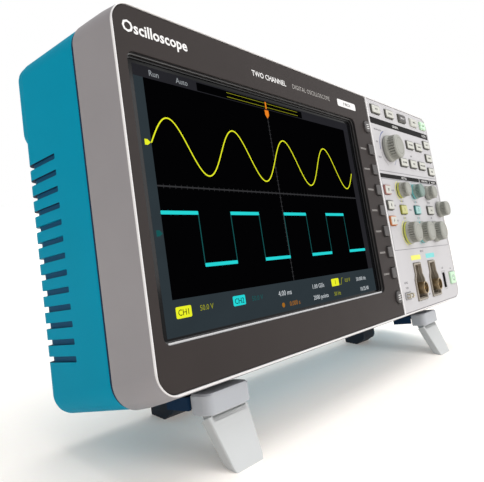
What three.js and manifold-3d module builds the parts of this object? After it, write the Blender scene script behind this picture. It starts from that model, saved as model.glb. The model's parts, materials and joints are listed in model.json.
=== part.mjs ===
// A bench oscilloscope standing on its two folded-out front feet. Millimetres, +Z up.
//
// The instrument is drawn upright in a frame of its own: X to the right, Y from the front to the
// rear, Z up, with zero at the bottom centre of its front face. It is then leaned back onto its
// feet, and the exported group's origin is the middle of the footprint, on the table.
import * as THREE from 'three';
import { mergeVertices } from 'three/addons/utils/BufferGeometryUtils.js';
import Module from 'manifold-3d';

const wasm = await Module();
wasm.setup();

// ---------- driving dimensions ----------
const FULL_WIDTH = 372.4; // at the seam between frame and rear cover
const FRONT_WIDTH = 370.8; // at the front face
const FRONT_HEIGHT = 170.4;
const FULL_LOW = -6.5; // the bottom at the seam, below the front face's
const FULL_HIGH = 172.65;
const REAR_LOW = -9.8; // the bottom drops a little further towards the rear
const FRAME_DEPTH = 29; // front face to seam
const BODY_DEPTH = 81; // front face to the vented rear face
const BROW_DEPTH = 85; // front face to the raised upper rear face
const WALL = 2.6;
const GAP = 0.3; // between neighbouring pieces
const LEAN = THREE.MathUtils.degToRad(12.4);
const GROUND_AT_FRONT = -41.7; // height of the table under the front face, in the upright frame

const PLATE_FRONT = 0.4; // the bezel and the control panel lie just inside the frame's rim
const PLATE_BACK = 3.3;
const FRAME_WALL = [3.6, 6.2]; // front and back of the wall that carries both plates
const KEY_END = 8; // rear end of every button's stem
const BOARD_FRONT = 10;
const BOARD_THICK = 1.6;
const KEY_CLEARANCE = 0.35;
const KNOB_SHAFT_RADIUS = 3;
const KNOB_HOLE_RADIUS = 3.6;

const HALF_FULL = FULL_WIDTH / 2;
const HALF_FRONT = FRONT_WIDTH / 2;
const CORNER_RADIUS = 14; // of the housing at the seam
const PLATE_RADIUS = 9; // of the recess for the two plates
const RIM = 1.6;
const DIVIDER = [57.2, 59.2]; // the rim's upright between bezel and control panel

// The frame between its front edge and the seam.
const FRAME_FLARE = [
  { half: HALF_FRONT + 0.4, low: -2.8, high: FRONT_HEIGHT + 1.2, radius: 13, y: 10 },
  { half: HALF_FRONT + 0.6, low: -5.2, high: FRONT_HEIGHT + 1.9, radius: 13.6, y: 20 },
];
const THIN_BOTTOM = 0.9; // the frame's inner floor behind its front wall
// Openings of the front wall behind the soft keys and behind the control panel.
const BEZEL_KEY_BAY = { left: 43.6, right: 56.6, low: 8, high: 150.5 };
const PANEL_BAY = { left: 60.4, right: 182.4, low: 5, high: 166.2 };

const SCREEN = { left: -178.4, right: 31.7, low: 20.7, high: 147.4 };
const SCREEN_MARGIN = 2.6;

const FOOT_X = 133; // distance of each front foot from the middle
const FOOT_PIVOT = { y: 17, z: -11.8 };
const FOOT_TIP_Y = 7;
const FOOT_HALF_THICK = 2.8;
const REAR_FOOT_X = 115;

// ---------- colours ----------
const SHELL_TEAL = 0x0083a3;
const FRAME_GREY = 0xb9b7b4;
const PANEL_GREY = 0xd8d7da;
const BEZEL_DARK = 0x45413e;
const KEY_DARK = 0x54504e;
const KEY_LIGHT = 0xcfd0cc;
const KNOB_GREY = 0x9b9c96;
const METAL = 0xb0b2b0;
const RUBBER = 0x16181c;
const BOARD_GREEN = 0x1f5a3a;

// ---------- solids ----------
function toSolid(geometry) {
  const bare = geometry.clone();
  bare.deleteAttribute('normal');
  bare.deleteAttribute('uv');
  const welded = mergeVertices(bare, 1e-4);
  return new wasm.Manifold(new wasm.Mesh({
    numProp: 3,
    vertProperties: new Float32Array(welded.attributes.position.array),
    triVerts: new Uint32Array(welded.index.array),
  }));
}

function toGeometry(solid) {
  const mesh = solid.getMesh();
  const indexed = new THREE.BufferGeometry();
  indexed.setAttribute('position', new THREE.BufferAttribute(mesh.vertProperties, 3));
  indexed.setIndex(new THREE.BufferAttribute(mesh.triVerts, 1));
  const flat = indexed.toNonIndexed();
  flat.computeVertexNormals();
  return flat;
}

function join(...geometries) {
  return toGeometry(geometries.map(toSolid).reduce((sum, solid) => sum.add(solid)));
}

function cut(geometry, ...tools) {
  return toGeometry(tools.map(toSolid).reduce((rest, tool) => rest.subtract(tool), toSolid(geometry)));
}

// A box given by its lowest and highest corners.
function block(low, high) {
  const size = high.map((value, axis) => value - low[axis]);
  const middle = high.map((value, axis) => (value + low[axis]) / 2);
  return new THREE.BoxGeometry(...size).translate(...middle);
}

// A rounded rectangle in the plane of the front face, as a closed path.
function roundedPath(path, left, right, low, high, radius) {
  path.moveTo(left + radius, low);
  path.lineTo(right - radius, low);
  path.absarc(right - radius, low + radius, radius, -Math.PI / 2, 0);
  path.lineTo(right, high - radius);
  path.absarc(right - radius, high - radius, radius, 0, Math.PI / 2);
  path.lineTo(left + radius, high);
  path.absarc(left + radius, high - radius, radius, Math.PI / 2, Math.PI);
  path.lineTo(left, low + radius);
  path.absarc(left + radius, low + radius, radius, Math.PI, Math.PI * 1.5);
  return path;
}

function roundedShape(left, right, low, high, radius) {
  return roundedPath(new THREE.Shape(), left, right, low, high, radius);
}

// A plate outline on one side of the divider: rounded in the case's corners, square at the divider.
function plateOutline(side, inset, radius) {
  const inner = side < 0 ? DIVIDER[0] - inset : DIVIDER[1] + inset;
  const outer = side * (HALF_FRONT - RIM - inset);
  const low = RIM + inset;
  const high = FRONT_HEIGHT - RIM - inset;
  const shape = new THREE.Shape();
  shape.moveTo(inner, low);
  shape.lineTo(outer - side * radius, low);
  shape.absarc(outer - side * radius, low + radius, radius, -Math.PI / 2, side > 0 ? 0 : -Math.PI, side < 0);
  shape.lineTo(outer, high - radius);
  shape.absarc(outer - side * radius, high - radius, radius, side > 0 ? 0 : -Math.PI, -Math.PI * 1.5, side < 0);
  shape.lineTo(inner, high);
  return shape;
}

function rectHole(x, z, width, height, radius) {
  return roundedPath(new THREE.Path(), x - width / 2, x + width / 2, z - height / 2, z + height / 2, radius);
}

function roundHole(x, z, radius) {
  return rectHole(x, z, 2 * radius, 2 * radius, radius * 0.999);
}

// Extrudes a shape drawn in X and Z from one depth to another.
function plate(shape, front, back, arcSteps = 2) {
  const settings = { depth: back - front, bevelEnabled: false, curveSegments: arcSteps };
  return new THREE.ExtrudeGeometry(shape, settings).rotateX(Math.PI / 2).translate(0, back, 0);
}

// Extrudes a side profile, drawn as [y, z] points, from one X to another.
function profileBar(points, left, right) {
  const shape = new THREE.Shape(points.map(([y, z]) => new THREE.Vector2(y, z)));
  const settings = { depth: right - left, bevelEnabled: false };
  const bar = new THREE.ExtrudeGeometry(shape, settings);
  return bar.applyMatrix4(new THREE.Matrix4().set(0, 0, 1, left, 1, 0, 0, 0, 0, 1, 0, 0, 0, 0, 0, 1));
}

// Turns a profile of [radius, y] points about the Y axis, and moves it to (x, z).
function turned(profile, x, z, steps = 20) {
  const points = profile.map(([radius, y]) => new THREE.Vector2(radius, y));
  return new THREE.LatheGeometry(points, steps).translate(x, 0, z);
}

// A ring of points round a rounded rectangle at one depth.
function ring({ half, low, high, radius, y }, steps = 5) {
  const centres = [[half - radius, high - radius], [radius - half, high - radius],
    [radius - half, low + radius], [half - radius, low + radius]];
  return centres.flatMap(([x, z], quarter) => Array.from({ length: steps + 1 }, (_, step) => {
    const angle = (quarter + step / steps) * Math.PI / 2;
    return [x + radius * Math.cos(angle), y, z + radius * Math.sin(angle)];
  }));
}

// A closed skin through rings that run from front to rear.
function loft(sections) {
  const rings = sections.map((section) => ring(section));
  const count = rings[0].length;
  const index = [];
  for (let level = 0; level + 1 < rings.length; level += 1) {
    for (let k = 0; k < count; k += 1) {
      const a = level * count + k;
      const b = level * count + (k + 1) % count;
      index.push(a, a + count, b, b, a + count, b + count);
    }
  }
  const last = (rings.length - 1) * count;
  for (let k = 1; k + 1 < count; k += 1) {
    index.push(0, k, k + 1);
    index.push(last, last + k + 1, last + k);
  }
  const skin = new THREE.BufferGeometry();
  skin.setAttribute('position', new THREE.Float32BufferAttribute(rings.flat(2), 3));
  skin.setIndex(index);
  return skin.toNonIndexed();
}

// Sections of a block whose rear edge is rounded off with the given fillet.
function filletedSections({ half, low, high, radius }, front, back, fillet) {
  const turns = [0, 1, 2, 3, 4];
  const rounded = turns.map((turn) => {
    const angle = turn * Math.PI / 8;
    const inset = fillet * (1 - Math.cos(angle));
    return {
      half: half - inset,
      low: low + inset,
      high: high - inset,
      radius: Math.max(radius - inset, 3),
      y: back - fillet + fillet * Math.sin(angle),
    };
  });
  return [{ half, low, high, radius, y: front }, ...rounded];
}

// ---------- the assembly ----------
const model = new THREE.Group();
const instrument = new THREE.Group();
instrument.rotation.x = -LEAN;
model.add(instrument);

function addPart(name, geometry, color, roughness = 0.5, metalness = 0) {
  const material = new THREE.MeshStandardMaterial({ color, roughness, metalness });
  const mesh = new THREE.Mesh(geometry, material);
  mesh.name = name;
  instrument.add(mesh);
}

// ---------- where the controls are ----------
// Buttons as [name, x, z, width, height, colour].
const SOFT_KEY_X = 50.4;
const SOFT_KEY_TOP = 125.9;
const SOFT_KEY_PITCH = 15.54;
const softKeys = Array.from({ length: 7 }, (_, k) => (
  [`soft_key_${k + 1}`, SOFT_KEY_X, SOFT_KEY_TOP - k * SOFT_KEY_PITCH, 8.4, 7.6, KEY_DARK]));
const bezelKeys = [
  ['menu_button', 50.6, 143.9, 9, 9, KEY_DARK],
  ['menu_off_button', 51, 14.7, 9, 9, KEY_DARK],
  ...softKeys,
];

const topRow = ['save_button', 'cursor_button', 'default_button', 'single_button'].map((name, k) => (
  [name, 72.3 + 26.4 * k, 161.4, 15.5, 7.2, k === 2 ? KEY_DARK : KEY_LIGHT]));
const columnKeys = ['autoset_button', 'utility_button', 'help_button'].map((name, k) => (
  [name, 173.6, 142.7 - 12.8 * k, 14.5, 7.4, KEY_LIGHT]));
const rowKeys = [
  ['measure_button', 132.4, 138.4, 15, 7.4, KEY_LIGHT],
  ['search_button', 152.4, 138.4, 15, 7.4, KEY_LIGHT],
  ['acquire_button', 111.2, 121.1, 15, 7.4, KEY_LIGHT],
  ['test_button', 131.8, 121.1, 15, 7.4, KEY_LIGHT],
  ['function_button', 152.4, 121.1, 15, 7.4, KEY_LIGHT],
];
const verticalKeys = [
  ['math_button', 67.2, 95.8, 11, 7.4, 0xc9a09c],
  ['reference_button', 67.2, 83.6, 11, 7.4, KEY_LIGHT],
  ['fft_button', 67.2, 71.4, 11, 7.4, 0xd9925c],
  ['channel_1_button', 91.8, 80.4, 12, 7.4, 0xd9d43c],
  ['channel_2_button', 121.3, 80.4, 12, 7.4, 0x3fc3c0],
  ['horizontal_button', 151.8, 80.4, 15, 7.4, KEY_LIGHT],
];
const panelKeys = [
  ...topRow,
  ['run_stop_button', 173.8, 161.4, 13, 7.2, 0xb9dcb0],
  ...columnKeys,
  ...rowKeys,
  ...verticalKeys,
  ['power_button', 174.6, 18.8, 13, 10.4, 0xbfe3bd],
];

// Knobs as [name, x, z, radius, height above the panel].
const knobs = [
  ['multipurpose_knob', 84.8, 130.2, 11, 10],
  ['channel_1_position_knob', 91.8, 96.2, 6.5, 8],
  ['channel_2_position_knob', 121.3, 96.2, 6.5, 8],
  ['horizontal_position_knob', 151.8, 96.2, 6.5, 8],
  ['trigger_level_knob', 174.6, 81.6, 7.4, 9],
  ['channel_1_scale_knob', 91.8, 61.4, 9.2, 9.4],
  ['channel_2_scale_knob', 121.3, 61.4, 9.2, 9.4],
  ['horizontal_scale_knob', 151.8, 61.4, 9.2, 9.4],
];

const INPUT_XS = [97.8, 129.8];
const INPUT_Z = 17;
const INPUT_BODY = { width: 20, low: 7.6, high: 27 };
const INPUT_NECK = { width: 14.5, high: 37 };
const USB_HOST = { x: 154.6, z: 18.4, width: 5.2, height: 12.6 };
const COMP_TERMINAL = { x: 70.3, z: 13.6, width: 11.5, height: 4.8 };

// ---------- front frame, bezel and panel ----------
function frontFrame() {
  const outside = loft([
    { half: HALF_FRONT - 0.5, low: 0.5, high: FRONT_HEIGHT - 0.5, radius: 12, y: 0 },
    { half: HALF_FRONT, low: 0, high: FRONT_HEIGHT, radius: 12.5, y: 0.7 },
    ...FRAME_FLARE,
    { half: HALF_FULL, low: FULL_LOW, high: FULL_HIGH, radius: CORNER_RADIUS, y: FRAME_DEPTH },
  ]);
  const [wallFront, wallBack] = FRAME_WALL;
  const inside = loft([
    { half: HALF_FRONT - WALL, low: THIN_BOTTOM, high: FRONT_HEIGHT - WALL, radius: 7, y: wallBack },
    { half: HALF_FULL - WALL, low: FULL_LOW + WALL, high: FULL_HIGH - WALL, radius: 11, y: FRAME_DEPTH + 1 },
  ]);
  const wallCut = wallBack + 1;
  const glass = glassOutline();
  return cut(
    outside,
    inside,
    plate(plateOutline(-1, 0, PLATE_RADIUS), -1, wallFront, 4),
    plate(plateOutline(1, 0, PLATE_RADIUS), -1, wallFront, 4),
    block([glass.left - GAP, 0, glass.low - GAP], [glass.right + GAP, wallCut, glass.high + GAP]),
    block([BEZEL_KEY_BAY.left, 2, BEZEL_KEY_BAY.low], [BEZEL_KEY_BAY.right, wallCut, BEZEL_KEY_BAY.high]),
    block([PANEL_BAY.left, 2, PANEL_BAY.low], [PANEL_BAY.right, wallCut, PANEL_BAY.high]),
  );
}

function glassOutline() {
  return {
    left: SCREEN.left - SCREEN_MARGIN,
    right: SCREEN.right + SCREEN_MARGIN,
    low: SCREEN.low - SCREEN_MARGIN,
    high: SCREEN.high + SCREEN_MARGIN,
  };
}

function displayBezel() {
  const shape = plateOutline(-1, GAP, 9 - GAP);
  const window = roundedPath(new THREE.Path(), SCREEN.left, SCREEN.right, SCREEN.low, SCREEN.high, 4);
  shape.holes.push(window);
  bezelKeys.forEach((key) => shape.holes.push(keyHole(key)));
  return plate(shape, PLATE_FRONT, PLATE_BACK);
}

function keyHole([name, x, z, width, height]) {
  const radius = isRound(name) ? width / 2 : 1.2;
  const spare = 2 * KEY_CLEARANCE;
  return rectHole(x, z, width + spare, height + spare, radius + KEY_CLEARANCE);
}

function isRound(name) {
  return name.startsWith('menu');
}

function inputOutline(x, spare) {
  const body = INPUT_BODY.width / 2 + spare;
  const neck = INPUT_NECK.width / 2 + spare;
  const shape = new THREE.Shape();
  shape.moveTo(x - body, INPUT_BODY.low - spare);
  shape.lineTo(x + body, INPUT_BODY.low - spare);
  shape.lineTo(x + body, INPUT_BODY.high - 3);
  shape.lineTo(x + neck, INPUT_BODY.high + 1);
  shape.lineTo(x + neck, INPUT_NECK.high + spare);
  shape.lineTo(x - neck, INPUT_NECK.high + spare);
  shape.lineTo(x - neck, INPUT_BODY.high + 1);
  shape.lineTo(x - body, INPUT_BODY.high - 3);
  return shape;
}

function controlPanel() {
  const shape = plateOutline(1, GAP, 9 - GAP);
  panelKeys.forEach((key) => shape.holes.push(keyHole(key)));
  knobs.forEach(([, x, z]) => shape.holes.push(roundHole(x, z, KNOB_HOLE_RADIUS)));
  shape.holes.push(rectHole(USB_HOST.x, USB_HOST.z, USB_HOST.width + 0.4, USB_HOST.height + 0.4, 0.6));
  const { x, z, width, height } = COMP_TERMINAL;
  shape.holes.push(rectHole(x, z, width + 0.7, height + 0.7, 1));
  const inputs = INPUT_XS.map((inputX) => plate(inputOutline(inputX, 0.35), -1, 5));
  return cut(plate(shape, PLATE_FRONT, PLATE_BACK), ...inputs);
}

// ---------- buttons and knobs ----------
const KEY_PROUD = 1.5; // how far a button stands out of its plate
const KEY_FLANGE = [3.9, 5.1];

function key([name, x, z, width, height]) {
  const radius = isRound(name) ? width / 2 - 0.01 : 1.2;
  const cap = roundedShape(x - width / 2, x + width / 2, z - height / 2, z + height / 2, radius);
  const wide = width / 2 + 0.8;
  const tall = height / 2 + 0.8;
  return join(
    plate(cap, PLATE_FRONT - KEY_PROUD, KEY_END, isRound(name) ? 3 : 1),
    block([x - wide, KEY_FLANGE[0], z - tall], [x + wide, KEY_FLANGE[1], z + tall]),
  );
}

// A knob with a flared skirt, a gripped barrel with a rounded nose, and a shaft into the encoder.
function knob([, x, z, radius, height]) {
  const face = PLATE_FRONT - height;
  const skirt = PLATE_FRONT - 0.6;
  return turned([
    [0, face + 0.4],
    [radius * 0.72, face],
    [radius * 0.88, face + 0.9],
    [radius * 0.93, skirt - 3],
    [radius, skirt - 2],
    [radius, skirt],
    [KNOB_SHAFT_RADIUS, skirt],
    [KNOB_SHAFT_RADIUS, BOARD_FRONT - GAP],
    [0, BOARD_FRONT - GAP],
  ], x, z);
}

// ---------- inputs and ports on the front ----------
const WELL_FRONT = -0.6;
const WELL_FLOOR = 11.4;
const WELL_WALL = 1.4;

// A die-cast well that the bayonet jack stands in, with a block of probe contacts at its top.
const WELL_BORE = 5.2; // the jack's barrel passes through it
const CONTACTS = { half: 4.4, front: 4.4, low: 29, high: 34.4 };

function probeSocket(x) {
  const cast = plate(inputOutline(x, 0), WELL_FRONT, WELL_FLOOR + 1.6);
  const well = plate(inputOutline(x, -WELL_WALL), WELL_FRONT - 1, WELL_FLOOR);
  const bore = turned([[0, 9], [WELL_BORE, 9], [WELL_BORE, 14], [0, 14]], x, INPUT_Z, 20);
  const contacts = block(
    [x - CONTACTS.half, CONTACTS.front, CONTACTS.low],
    [x + CONTACTS.half, WELL_FLOOR + 0.5, CONTACTS.high],
  );
  return join(cut(cast, well, bore), contacts);
}

function bncJack(x) {
  const body = turned([
    [0, -2.4],
    [2.4, -2.4],
    [2.4, 5],
    [4.05, 5],
    [4.05, -4],
    [4.8, -4],
    [4.8, 8.6],
    [7.6, 8.6],
    [7.6, 11.1],
    [4.8, 11.1],
    [4.8, 20],
    [0, 20],
  ], x, INPUT_Z, 16);
  const LUG_Y = -0.6;
  const lug = new THREE.CylinderGeometry(1, 1, 1.6, 8).rotateZ(Math.PI / 2);
  const left = lug.clone().translate(x - 5.1, LUG_Y, INPUT_Z);
  const right = lug.clone().translate(x + 5.1, LUG_Y, INPUT_Z);
  return join(body, left, right);
}

function usbHostPort() {
  const { x, z, width, height } = USB_HOST;
  const can = block([x - width / 2 - 0.9, 3.6, z - height / 2 - 0.9], [x + width / 2 + 0.9, 17, z + height / 2 + 0.9]);
  const mouth = block([x - width / 2, 2, z - height / 2], [x + width / 2, 15.6, z + height / 2]);
  return cut(can, mouth);
}

// Two spring clips on one insulator, for compensating a probe.
function compTerminal() {
  const { x, z, width, height } = COMP_TERMINAL;
  const base = plate(roundedShape(x - width / 2, x + width / 2, z - height / 2, z + height / 2, 1), -0.2, 8);
  const clips = [-3, 3].map((offset) => {
    const outer = block([x + offset - 1, -3, z - 1.8], [x + offset + 1, 0.4, z + 1.8]);
    const eye = block([x + offset - 2, -2.1, z - 0.9], [x + offset + 2, -0.7, z + 0.9]);
    return cut(outer, eye);
  });
  return join(base, ...clips);
}

// ---------- inside the case ----------
function screenGlass() {
  const { left, right, low, high } = glassOutline();
  return block([left, 3.9, low], [right, 5.9, high]);
}

function lcdModule() {
  const { left, right, low, high } = glassOutline();
  return block([left + 1, 6.5, low + 1], [right - 1, 14, high - 1]);
}

function frontPanelBoard() {
  const corners = [[40, 9], [59, 9], [59, 45], [161, 45], [161, 9], [179, 9], [179, 163], [40, 163]];
  const shape = new THREE.Shape(corners.map(([x, z]) => new THREE.Vector2(x, z)));
  return plate(shape, BOARD_FRONT, BOARD_FRONT + BOARD_THICK);
}

const CHASSIS_Y = 26;
const MAIN_BOARD_Y = 46;
const REAR_BAY = { left: 30, right: 104, low: 14, high: 44, floor: 60 };
const USB_DEVICE = { x: 48, z: 28, width: 12, height: 11 };
const LAN = { x: 80, z: 28, width: 16, height: 13.6 };

// A folded sheet-metal tray with a window for the input shield.
function chassis() {
  const sheet = 1.2;
  const back = block([-176, CHASSIS_Y, 6], [176, CHASSIS_Y + sheet, 164]);
  const leftFlange = block([-176, CHASSIS_Y, 6], [-176 + sheet, CHASSIS_Y + 18, 164]);
  const rightFlange = block([176 - sheet, CHASSIS_Y, 6], [176, CHASSIS_Y + 18, 164]);
  const inputWindow = block([74, CHASSIS_Y - 1, 3], [154, CHASSIS_Y + 3, 52]);
  return cut(join(back, leftFlange, rightFlange), inputWindow);
}

function socketCan({ x, z, width, height }, mouthWidth, mouthHeight) {
  const can = block([x - width / 2, MAIN_BOARD_Y, z - height / 2], [x + width / 2, REAR_BAY.floor + 1.5, z + height / 2]);
  const mouth = block(
    [x - mouthWidth / 2, REAR_BAY.floor - 9, z - mouthHeight / 2],
    [x + mouthWidth / 2, REAR_BAY.floor + 3, z + mouthHeight / 2],
  );
  return cut(can, mouth);
}

// The acquisition board with its input shield in front and its two ports behind.
function mainBoard() {
  const board = block([-20, MAIN_BOARD_Y, 10], [170, MAIN_BOARD_Y + BOARD_THICK, 150]);
  const shield = block([78, 20.4, 7], [150, MAIN_BOARD_Y + 0.5, 48]);
  return join(board, shield, socketCan(USB_DEVICE, 8.6, 7.8), socketCan(LAN, 12, 8.4));
}

function powerSupply() {
  const board = block([-165, 34, 20], [-30, 35.6, 140]);
  const heatSink = block([-160, 35, 90], [-152, 62, 136]);
  const transformer = block([-110, 35, 84], [-74, 62, 118]);
  const bulkCapacitor = new THREE.CylinderGeometry(11, 11, 28, 20).translate(-60, 49, 56);
  const inductor = block([-146, 35, 62], [-122, 58, 82]);
  return join(board, heatSink, transformer, bulkCapacitor, inductor);
}

const INLET = { x: -118, z: 40, width: 27.6, height: 20.4 };

// A mains inlet with its three blades, held by a flange outside the rear cover.
function mainsInlet() {
  const { x, z, width, height } = INLET;
  const box = block([x - width / 2, 62, z - height / 2], [x + width / 2, BODY_DEPTH + 1, z + height / 2]);
  const flange = block([x - 17, BODY_DEPTH + GAP, z - 13], [x + 17, BODY_DEPTH + 2.3, z + 13]);
  const mouth = block([x - 12, 66, z - 8.1], [x + 12, BODY_DEPTH + 4, z + 8.1]);
  const blades = [[-7, -1.5], [7, -1.5], [0, 2.5]].map(([dx, dz]) => (
    block([x + dx - 1, 64, z + dz - 2], [x + dx + 1, 76, z + dz + 2])));
  return join(cut(join(box, flange), mouth), ...blades);
}

// ---------- rear cover ----------
const SLOT_COUNT = 13;
const SLOT_PITCH = 8;
const SLOT_TOP = 114;
const SLOT_HEIGHT = 2.8;
const SLOT_FRONT = 53;
const SLOT_REAR_REACH = 172; // how far in from the side each slot runs across the rear

const REAR_FILLET = 6;
const BROW_LOW = 124; // lower edge of the raised band across the rear
const BROW_FRONT = 68;
const BAY_WALL = 2.4;
const INLET_HOLE = { halfWidth: 14.2, halfHeight: 10.6, front: 70 };
const SECURITY_SLOT = { left: -163, right: -156, low: 24, high: 27.2 };

function rearCover() {
  const full = { half: HALF_FULL - 0.2, low: REAR_LOW, high: FULL_HIGH - 0.2, radius: 11 };
  const hollow = {
    half: full.half - WALL,
    low: full.low + WALL,
    high: full.high - WALL,
    radius: full.radius - WALL,
  };
  const brow = { half: full.half - 0.6, low: BROW_LOW, high: full.high - 0.4, radius: 10 };
  const seam = FRAME_DEPTH + GAP;
  const atSeam = { ...full, low: FULL_LOW + 0.2, radius: CORNER_RADIUS, y: seam };
  const hollowAtSeam = { ...hollow, low: atSeam.low + WALL, radius: CORNER_RADIUS - WALL, y: seam - 1 };
  const outside = join(
    loft([atSeam, ...filletedSections(full, seam, BODY_DEPTH, REAR_FILLET).slice(1)]),
    loft(filletedSections(brow, BROW_FRONT, BROW_DEPTH, REAR_FILLET)),
  );
  const inside = loft([hollowAtSeam, ...filletedSections(hollow, seam, BODY_DEPTH - WALL, REAR_FILLET - 2).slice(1)]);
  const { left, right, low, high, floor } = REAR_BAY;
  const bayWalls = block(
    [left - BAY_WALL, floor - BAY_WALL, low - BAY_WALL],
    [right + BAY_WALL, BODY_DEPTH - 1, high + BAY_WALL],
  );
  const shell = join(cut(outside, inside), bayWalls, ...footMounts());
  const openings = [
    block([left, floor, low], [right, BODY_DEPTH + 5, high]),
    portHole(USB_DEVICE),
    portHole(LAN),
    block(
      [INLET.x - INLET_HOLE.halfWidth, INLET_HOLE.front, INLET.z - INLET_HOLE.halfHeight],
      [INLET.x + INLET_HOLE.halfWidth, BODY_DEPTH + 2, INLET.z + INLET_HOLE.halfHeight],
    ),
    block(
      [SECURITY_SLOT.left, INLET_HOLE.front, SECURITY_SLOT.low],
      [SECURITY_SLOT.right, BODY_DEPTH + 2, SECURITY_SLOT.high],
    ),
  ];
  return cut(shell, ...openings, ...ventSlots());
}

function portHole({ x, z, width, height }) {
  const halfWidth = width / 2 + 0.4;
  const halfHeight = height / 2 + 0.4;
  return block([x - halfWidth, REAR_BAY.floor - 4, z - halfHeight], [x + halfWidth, REAR_BAY.floor + 1, z + halfHeight]);
}

function ventSlots() {
  return Array.from({ length: SLOT_COUNT }, (_, k) => SLOT_TOP - k * SLOT_PITCH).flatMap((z) => {
    const low = z - SLOT_HEIGHT / 2;
    const high = z + SLOT_HEIGHT / 2;
    return [
      block([-HALF_FULL - 5, SLOT_FRONT, low], [-SLOT_REAR_REACH, BODY_DEPTH + 1, high]),
      block([SLOT_REAR_REACH, SLOT_FRONT, low], [HALF_FULL + 5, BODY_DEPTH + 1, high]),
    ];
  });
}

// Under each side: a pad with two rails that a folded foot lies between, and a rear pedestal.
const PAD = { half: 17.6, front: 21.5, back: 36, low: -13, floor: -8.5, top: -6.9 };
const PEDESTAL = { half: 11, front: 60, back: 78.5, low: -13.5 };

function footMounts() {
  return [-1, 1].flatMap((side) => {
    const padX = side * FOOT_X;
    const pedestalX = side * REAR_FOOT_X;
    const pad = block([padX - PAD.half, PAD.front, PAD.floor], [padX + PAD.half, PAD.back, PAD.top]);
    const root = block([padX - PAD.half, FRAME_DEPTH + 1, PAD.floor], [padX + PAD.half, PAD.back, -5]);
    const rails = [-1, 1].map((edge) => {
      const middle = padX + edge * (PAD.half - 1);
      return block([middle - 1, PAD.front, PAD.low], [middle + 1, PAD.back, PAD.top]);
    });
    const pedestal = block(
      [pedestalX - PEDESTAL.half, PEDESTAL.front, PEDESTAL.low],
      [pedestalX + PEDESTAL.half, PEDESTAL.back, -6],
    );
    return [join(pad, root, ...rails), pedestal];
  });
}

// ---------- feet ----------
// The table's height under a given depth, in the upright frame.
function ground(y) {
  return GROUND_AT_FRONT + y * Math.tan(LEAN);
}

const MOUNT = { half: 16, earInner: 13.2, front: 10, back: 21, low: -15.2, high: -5.8 };
const TRUNNION_RADIUS = 1.8;

// The hood that carries a front foot's hinge.
function footMount(x) {
  const { half, earInner, front, back, low, high } = MOUNT;
  const hood = block([x - half, front, low], [x + half, back, high]);
  const hollow = block([x - earInner, front + 2, low - 2], [x + earInner, back + 2, high - 1.6]);
  const bore = new THREE.CylinderGeometry(TRUNNION_RADIUS + 0.35, TRUNNION_RADIUS + 0.35, 40, 16)
    .rotateZ(Math.PI / 2)
    .translate(x, FOOT_PIVOT.y, FOOT_PIVOT.z);
  return cut(hood, hollow, bore);
}

// A flip foot: barrel with moulded trunnions, and a leg that widens below the hood.
const LEG = { neckHalf: 12.5, neckLength: 9, shoulder: 5.8, half: 14.5, barrelRadius: 3.2, barrelLength: 25 };
const TRUNNION_LENGTH = 31.4;
// Outlines, as [across, z], of what is trimmed off each side of the leg so that it narrows to its tip.
const LEG_TRIM = [[14.5, -17], [20, -17], [20, -50], [9, -50]];

function frontFoot(x) {
  const tip = { y: FOOT_TIP_Y, z: ground(FOOT_TIP_Y) };
  const reach = Math.hypot(tip.y - FOOT_PIVOT.y, tip.z - FOOT_PIVOT.z);
  const along = { y: (tip.y - FOOT_PIVOT.y) / reach, z: (tip.z - FOOT_PIVOT.z) / reach };
  // A point at a distance along the leg and an offset towards its front face.
  const at = (distance, offset) => [
    FOOT_PIVOT.y + along.y * distance + along.z * offset,
    FOOT_PIVOT.z + along.z * distance - along.y * offset,
  ];
  const slope = Math.tan(LEAN);
  // Where the leg's face at an offset meets the table.
  const land = (offset) => {
    const [y, z] = at(reach, offset);
    const miss = ground(y) - z;
    const step = miss / (along.z - slope * along.y);
    return at(reach + step, offset);
  };
  const front = FOOT_HALF_THICK;
  const back = -FOOT_HALF_THICK;
  const { neckHalf, neckLength, shoulder, half, barrelRadius, barrelLength } = LEG;
  const neck = [at(0, front), at(0, back), at(neckLength, back), at(neckLength, front)];
  const upper = profileBar(neck, x - neckHalf, x + neckHalf);
  const blade = [at(shoulder, front), at(shoulder, back), land(back), land(front)];
  const lower = profileBar(blade, x - half, x + half);
  const barrel = new THREE.CylinderGeometry(barrelRadius, barrelRadius, barrelLength, 16).rotateZ(Math.PI / 2);
  const pin = new THREE.CylinderGeometry(TRUNNION_RADIUS, TRUNNION_RADIUS, TRUNNION_LENGTH, 16);
  const trunnions = pin.rotateZ(Math.PI / 2);
  barrel.translate(x, FOOT_PIVOT.y, FOOT_PIVOT.z);
  trunnions.translate(x, FOOT_PIVOT.y, FOOT_PIVOT.z);
  const trim = [-1, 1].map((side) => {
    const shape = new THREE.Shape(LEG_TRIM.map(([across, z]) => new THREE.Vector2(x + side * across, z)));
    return plate(shape, -10, 40);
  });
  return cut(join(upper, lower, barrel, trunnions), ...trim);
}

// A rubber foot whose rear land lies flat on the table and whose front rocks upwards.
function rearFoot(x) {
  const top = PEDESTAL.low - GAP;
  const landFront = 68;
  const { front, back, half } = PEDESTAL;
  return profileBar([
    [front, top],
    [front, -21],
    [front + 2.5, -24.5],
    [landFront, ground(landFront)],
    [back, ground(back)],
    [back, top],
  ], x - half, x + half);
}

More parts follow.
